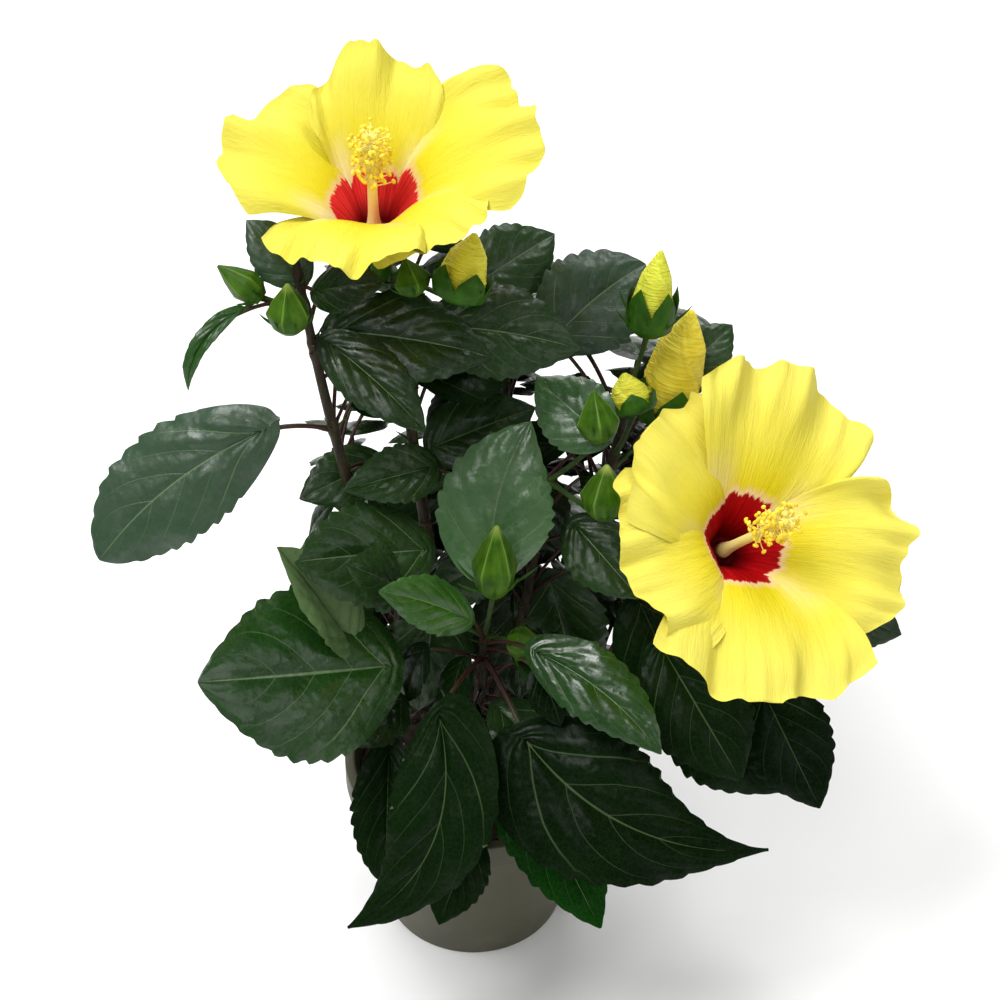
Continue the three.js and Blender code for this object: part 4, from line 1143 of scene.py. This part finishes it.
def leaf_material(name, deep, light, roughness, sheen, lines=1.0, vein=(0.12, 0.19, 0.08)):
    """A blade's face: two greens dealt out by leaf and by patch, with thin paler veins."""
    sh = Shader(name)
    midrib, side, net = rib_pattern(sh)
    tone = sh.shade() * 0.5 + sh.noise(42, 4) * 0.7
    colour = sh.blend(tone.ramp(0.2, 0.9), deep, light)
    for mask, strength in ((net, 0.05), (side, 0.62), (midrib, 0.8)):
        colour = sh.blend(mask * (strength * lines), colour, vein)
    x, along = sh.pattern()
    start = along + abs(x - 0.5)
    colour = sh.blend(start.ramp(0.06, 0.02), colour, (0.2, 0.27, 0.05))
    blunted = sh.noise(150, 3).ramp(0.3, 0.7, roughness - 0.05, roughness + 0.09)
    gloss = sh.noise(70, 3).ramp(0.3, 0.75, sheen * 0.55, sheen * 1.15)
    relief = (sh.noise(190, 2) + sh.noise(62, 2) * 3.4
              - sh.cells(330, "SMOOTH_F1") * 0.7 - side * 0.5)
    return sh.finish(colour, blunted, gloss, relief, 0.0006, 0.6)


def petal_material(name, body, rim, back=False):
    """A petal's face: a crimson blotch with pale streaks beside it, then veined yellow."""
    sh = Shader(name)
    x, along = sh.pattern()
    t = abs(x * 2.0 - 1.0)

    def streaks(across, lengthwise, detail=2.0, distort=0.3):
        """Noise drawn out along the petal, which fans out with it."""
        run = sh.vector(x * across, along * lengthwise, sh.shade() * GRID_STEP)
        return sh.noise(1.0, detail, 0.55, run, distort)

    veins, crepe = streaks(46, 3.0), streaks(84, 13, 3.0, 0.8)
    soft = sh.noise(38, 3)
    # How lit its bloom is painted, 1 for the lit upper bloom and 0 for the one in shade; it sets the
    # crimson, the pale streaks and the yellow.
    fresh = sh.shade().ramp(0.4, 0.6)
    colour = sh.blend((along + soft * 0.35).ramp(0.4, 1.15), body, rim)
    deep = tuple(c * k for c, k in zip(body, (0.96, 0.86, 0.5)))
    colour = sh.blend(veins.ramp(0.5, 0.7) * along.ramp(0.2, 1.0, 0.2, 0.08), colour, deep)
    if back:
        colour = sh.blend(along.ramp(0.5, 0.12, 0, 0.75), colour, (0.8, 0.4, 0.22))
    else:
        reach = EYE["reach"]
        edge = (along + t.ramp(0.3, 1.0) * (EYE["blunt"] * reach)
                + (streaks(30, 1.2) - 0.5) * (EYE["ragged"] * 2))
        beside = (t.ramp(0.3, 0.7) * along.ramp(0.66, 0.3) * veins.ramp(0.25, 0.6, 0.4, 0.9)
                  * fresh.ramp(0, 1, 0.45, 1))
        colour = sh.blend(beside, colour, (0.93, 0.8, 0.62))
        halo = edge.ramp(reach + EYE["halo"], reach, 0, 0.75)
        colour = sh.blend(halo, colour, (0.93, 0.62, 0.5))
        # The crimson: painted shade darkens it on the shaded bloom, and painted light brightens it
        # on the lit one.
        low = sh.blend(fresh, (0.3, 0.0008, 0.002), (0.62, 0.016, 0.022))
        high = sh.blend(fresh, (0.48, 0.002, 0.006), (0.88, 0.05, 0.055))
        crimson = sh.blend(veins.ramp(0.35, 0.7), low, high)
        crimson = sh.blend(along.ramp(0.24, 0.06), crimson, (0.14, 0.0005, 0.002))
        colour = sh.blend(edge.ramp(reach + 0.012, reach - 0.004), colour, crimson)
    # Painted shade: the lit bloom's yellow is dimmed against the stronger light it gets.
    dimmed = sh.blend(1.0, colour, (0.88, 0.89, 0.72), "MULTIPLY")
    colour = sh.blend(fresh, colour, dimmed)
    return sh.finish(colour, soft.spread(0.58, 0.06), 0.07, veins * 0.7 + crepe * 0.9, 0.0009, 0.5)


def plain_green(name, deep, light, roughness=0.5, seams=0, seam=(0.15, 0.27, 0.04)):
    """Sepals, bracts and stalks: two greens streaked along the part, with pale seams."""
    sh = Shader(name)
    x, along = sh.pattern()
    lines = sh.noise(1.0, 3, 0.6, sh.wound(2.6, 1.5))
    tone = sh.noise(160, 3) * 0.5 + lines * 0.5
    colour = sh.blend(tone.ramp(0.3, 0.7), deep, light)
    if seams:
        run = abs((x * (math.pi * seams)).math("COSINE"))
        shown = run.ramp(0.982, 0.999) * along.ramp(0.05, 0.6, 0.15, 0.6)
        colour = sh.blend(shown, colour, seam)
        tip = along.ramp(0.8, 0.97) * sh.shade().ramp(0.1, 0.3)
        colour = sh.blend(tip, colour, (0.34, 0.44, 0.09))
    relief = lines + sh.noise(900, 2)
    return sh.finish(colour, lines.spread(roughness, 0.06), 0.13, relief, 0.0002, 0.6)


def furled_material():
    """Petals still rolled: cross-wrinkled yellow, greener in the buds that open last."""
    sh = Shader("furled_petal")
    along = sh.pattern()[1]
    wrinkles = sh.noise(1.0, 3, 0.5, sh.wound(1.1, 44.0, 0.42), 0.6)
    folds = sh.noise(1.0, 2, 0.6, sh.wound(2.2, 2.2, 0.42))
    ripe = sh.shade().ramp(0.45, 0.95)
    # Painted shade in the wrinkles: their hollows darker and their ridges lighter, with the same
    # noise as the relief.
    painted_hollow_shade = sh.blend(ripe, (0.56, 0.6, 0.03), (0.86, 0.66, 0.03))
    high = sh.blend(ripe, (0.74, 0.76, 0.07), (0.94, 0.82, 0.08))
    colour = sh.blend(wrinkles.ramp(0.35, 0.65), painted_hollow_shade, high)
    colour = sh.blend(folds.ramp(0.5, 0.75, 0, 0.35), colour, (0.66, 0.42, 0.02))
    colour = sh.blend(along.ramp(0.3, 0.08, 0, 0.6), colour, (0.3, 0.4, 0.04))
    return sh.finish(colour, folds.spread(0.54, 0.06), 0.25, wrinkles, 0.0011, 0.9)


def bark_material(name, deep, light, lichen, roughness=0.85):
    """Grey-brown bark with lengthwise cracks and pale lenticels."""
    sh = Shader(name)
    stretched = sh.node("ShaderNodeVectorMath", {0: sh.place(), 1: (1.0, 1.0, 0.22)},
                        operation="MULTIPLY")
    cracks = sh.noise(420, 5, 0.65, stretched, 0.6)
    spots = sh.cells(330).ramp(0.26, 0.14) * 0.4
    colour = sh.blend(cracks.ramp(0.36, 0.62), deep, light)
    colour = sh.blend(sh.noise(70, 4).ramp(0.5, 0.72, 0, 0.55), colour, lichen)
    colour = sh.blend(spots, colour, tuple(c * 1.5 for c in light))
    rough = cracks.ramp(0.3, 0.7, roughness, roughness - 0.12)
    return sh.finish(colour, rough, 0.15, cracks + spots, 0.0007, 0.9)


def petiole_material():
    """Leaf stalks, maroon brown on the stem's side and greener towards the blade."""
    sh = Shader("petiole")
    blotch = sh.noise(130, 4)
    reach = sh.pattern()[1] + (blotch - 0.5) * 0.9
    colour = sh.blend(reach.ramp(0.35, 1.05), (0.035, 0.011, 0.008), (0.05, 0.06, 0.018))
    return sh.finish(colour, blotch.spread(0.48, 0.06), 0.25, sh.noise(800, 3), 0.00015, 0.6)


def pot_material():
    """Olive-brown moulded plastic, finely grained and dusty low down."""
    sh = Shader("pot_plastic")
    height = sh.node("ShaderNodeSeparateXYZ", {0: sh.place()}, out=2)
    mottle = sh.noise(28, 5)
    colour = sh.blend(mottle.ramp(0.3, 0.7), (0.052, 0.05, 0.026), (0.07, 0.067, 0.036))
    dust = height.ramp(0.05, 0.0) * sh.noise(90, 5).ramp(0.4, 0.75)
    colour = sh.blend(dust * 0.3, colour, (0.13, 0.12, 0.08))
    rough = mottle.ramp(0.25, 0.75, 0.42, 0.54)
    return sh.finish(colour, rough, 0.35, sh.noise(1600, 2), 0.00005, 0.5)


def soil_material():
    """Peat, bark and a few pale grains, each crumb with a tone of its own."""
    sh = Shader("potting_mix")
    grain = sh.noise(520, 5, 0.7)
    tone = grain * 0.6 + sh.shade() * 0.5
    colour = sh.blend(tone.ramp(0.3, 0.85), (0.011, 0.007, 0.005), (0.062, 0.036, 0.02))
    pale = sh.cells(240).ramp(0.12, 0.07) * 0.7
    colour = sh.blend(pale, colour, (0.4, 0.37, 0.3))
    return sh.finish(colour, grain.spread(0.93, 0.05), PLAIN_GLOSS, grain, 0.0009, 1.0)


def speckled(name, deep, light, roughness):
    """A small part's own two tones, with a powdery grain."""
    sh = Shader(name)
    grain = sh.noise(1300, 3)
    tone = grain * 0.6 + sh.shade() * 0.4
    colour = sh.blend(tone.ramp(0.25, 0.75), deep, light)
    return sh.finish(colour, grain.spread(roughness, 0.05), PLAIN_GLOSS, grain, 0.0002, 0.8)


# ---- the plant, put together
def in_place(pile, materials, slot, replaced):
    """Makes a pile that was grown about the fork, moved to the row's frame."""
    pile.grids = [(g[0] + UP * FORK, *g[1:]) for g in pile.grids]
    pile.build(materials, slot, replaced)


def taken_by_heroes():
    """Every point of the rows above that the seeded leaves keep clear of."""
    points = []
    for name in STEMS:
        points.append(stem_point(name, np.arange(0, 1.0001, 0.02)))
        points += [leaf_marks(name, row, STATIONS) for row in LEAVES.get(name, [])]
        for row in BUDS.get(name, []):
            base = stem_point(name, row[0]) + heading(row[1], row[2]) * row[3]
            along = heading(row[4], row[5])
            points.append(np.array([base + along * row[6] * t for t in (0, 0.5, 1)]))
    u, v = np.meshgrid(np.linspace(0, 1, PETAL["stations"]),
                       np.linspace(-1, 1, PETAL["across"]), indexing="ij")
    for bloom in BLOOMS.values():
        axes, throat = bloom_place(bloom)
        for k in range(5):
            points.append((throat + petal_surface(bloom, k, u, v) @ axes).reshape(-1, 3))
        mouth = throat + axes[2] * (THROAT["heights"][0] - GAP)
        points.append(np.array([mouth - axes[2] * CALYX["length"], mouth]))
    return np.concatenate(points)


def eye_place():
    """Where the camera stands, in the row's frame."""
    return Vector(CAMERA["aim"]) + Vector(heading(-90, CAMERA["elevation"])) * CAMERA["distance"]


def kept_open():
    """Points along each line of sight that the finer leaves keep clear of."""
    eye = np.array(eye_place()) / MM - UP * FORK
    share = np.arange(*OPENING_REACH)[:, None]
    return np.concatenate([eye + (np.array([x, 0, z]) - eye) * share for x, z in OPENINGS])


def foliage(twigs):
    """The leaves of every mass: those with a place of their own, then the seeded ones."""
    taken = taken_by_heroes()
    grown, finer = {}, {}
    for name in STEMS:
        grown[name], taken = fill(name, taken, GROWTH, SPACES[name][0])
    taken = np.concatenate([taken, kept_open()])
    for name in STEMS:
        finer[name], taken = fill(name, taken, FINE_GROWTH, SPACES[name][0] + FINER_SEED)
    piles = {}
    for name in STEMS:
        dice = np.random.default_rng(SPACES[name][0])
        piles[name] = pile = Pile(f"leaves_{name}")
        for kind, rows in (("hero", LEAVES.get(name, [])), ("grown", grown[name]),
                           ("fine", finer[name])):
            for k, row in enumerate(rows):
                tone = TONES.get((name, k), "dark") if kind == "hero" else OTHER_TONES[kind]
                base = leaf_base(name, row)[2]
                blade(pile, base, row, BLADE[kind], list(LEAF_TONES).index(tone), dice)
                petiole(twigs, name, row)
                if kind != "fine":
                    stipules(twigs, name, row, dice)
    return piles


def build_plant():
    """Every piece that grows, in an order that the random draws rely on."""
    old_bark = bark_material("old_bark", (0.022, 0.014, 0.009), (0.075, 0.054, 0.036),
                             (0.1, 0.09, 0.065))
    twigs, buds, furls = Pile("twigs"), Pile("buds"), Pile("furled_petals")
    for name in STEMS:
        young_stem(twigs, name)
        wood = Pile(f"wood_{name}")
        bough(wood, name)
        in_place(wood, [old_bark], "bark", [f"bough_{name}"])
    leaf_faces = [leaf_material(f"leaf_{name}", *tone) for name, tone in LEAF_TONES.items()]
    for name, pile in foliage(twigs).items():
        in_place(pile, leaf_faces, "leaf", [f"mass_{name}"])
    dice = np.random.default_rng(3)
    for name, rows in BUDS.items():
        for row in rows:
            bud(buds, furls, twigs, name, row, dice)
    for bloom in BLOOMS.values():
        calyx(buds, twigs, bloom, dice)
    carriers = sorted({f"mass_{n}" for n in BUDS} | {f"mass_{b['stem']}" for b in BLOOMS.values()})
    in_place(buds, [
        plain_green("sepal", (0.012, 0.055, 0.001), (0.035, 0.11, 0.004), 0.45),
        plain_green("shut_sepal", (0.016, 0.06, 0.001), (0.06, 0.14, 0.006), 0.45, 5),
        plain_green("bract", (0.012, 0.05, 0.002), (0.035, 0.1, 0.008)),
    ], "leaf", carriers)
    in_place(furls, [furled_material()], "petal", carriers)
    in_place(twigs, [
        bark_material("twig_bark", (0.022, 0.014, 0.009), (0.06, 0.04, 0.026), (0.08, 0.07, 0.045)),
        bark_material("young_stem", (0.018, 0.012, 0.007), (0.04, 0.028, 0.014),
                      (0.03, 0.045, 0.014), 0.6),
        petiole_material(),
        plain_green("stalk", (0.02, 0.045, 0.01), (0.05, 0.09, 0.02)),
    ], "bark", [f"mass_{name}" for name in STEMS])

    foot = Pile("wood_trunk")
    trunk(foot)
    in_place(foot, [old_bark], "bark", ["trunk"])

    yellow, paler = (0.735, 0.615, 0.006), (0.775, 0.69, 0.11)
    petal_faces = [
        petal_material("petal_face", yellow, paler),
        petal_material("petal_back", (0.73, 0.6, 0.025), paler, back=True),
        speckled("throat", (0.2, 0.001, 0.006), (0.34, 0.004, 0.016), 0.6),
    ]
    column_faces = [
        speckled("column", (0.9, 0.78, 0.2), (0.94, 0.86, 0.34), 0.6),
        speckled("anther", (0.88, 0.58, 0.015), (0.94, 0.78, 0.07), 0.8),
        speckled("stigma", (0.9, 0.7, 0.07), (0.93, 0.8, 0.16), 0.8),
    ]
    for key, bloom in BLOOMS.items():
        petals, stamens = Pile(f"petals_{key}"), Pile(f"stamens_{key}")
        corolla(petals, bloom, BLOOM_PAINTED_LIGHT[key], dice)
        column(stamens, bloom, dice)
        in_place(petals, petal_faces, "petal", [f"corolla_{key}"])
        in_place(stamens, column_faces, "column", [f"column_{key}"])


# ---- studio
def studio():
    """A pale floor, a broad key from above, and a window behind that glances off the leaves."""
    bpy.ops.mesh.primitive_plane_add(size=12, location=(0, 0, 0))
    floor = bpy.context.object
    floor.name = "floor"
    paint = Shader("floor_white")
    surface = paint.tree.nodes["Principled BSDF"].inputs
    paint.feed(surface["Base Color"], (0.93, 0.93, 0.93))
    paint.feed(surface["Roughness"], 0.95)
    floor.data.materials.append(paint.material)
    for name, (place, size, power) in LAMPS.items():
        lamp = bpy.data.lights.new(name, "AREA")
        lamp.shape, lamp.size, lamp.energy = "DISK", size, power
        holder = bpy.data.objects.new(name, lamp)
        holder.location = place
        aim = Vector(LAMPS_AIM) - Vector(place)
        holder.rotation_euler = aim.to_track_quat("-Z", "Y").to_euler()
        bpy.context.scene.collection.objects.link(holder)
    world = bpy.data.worlds.new("studio")
    bpy.context.scene.world = world
    world.use_nodes = True
    background = world.node_tree.nodes["Background"].inputs
    background["Color"].default_value = (1, 1, 1, 1)
    background["Strength"].default_value = WORLD_STRENGTH
    bpy.context.scene.view_settings.view_transform = "Standard"
    bpy.context.scene.view_settings.look = "None"


def camera():
    """A long lens well above the plant, which looks down on it from the front."""
    data = bpy.data.cameras.new("camera")
    data.lens, data.sensor_width = CAMERA["lens"], 36
    data.dof.use_dof = False
    data.clip_start, data.clip_end = 0.05, 50
    eye = bpy.data.objects.new("camera", data)
    eye.location = eye_place()
    eye.rotation_euler = (math.radians(90 - CAMERA["elevation"]), 0, 0)
    bpy.context.scene.collection.objects.link(eye)
    bpy.context.scene.camera = eye


pot().build([pot_material()], "pot", ["pot"])
soil(np.random.default_rng(9)).build([soil_material()], "soil", ["soil"])
build_plant()
studio()
camera()
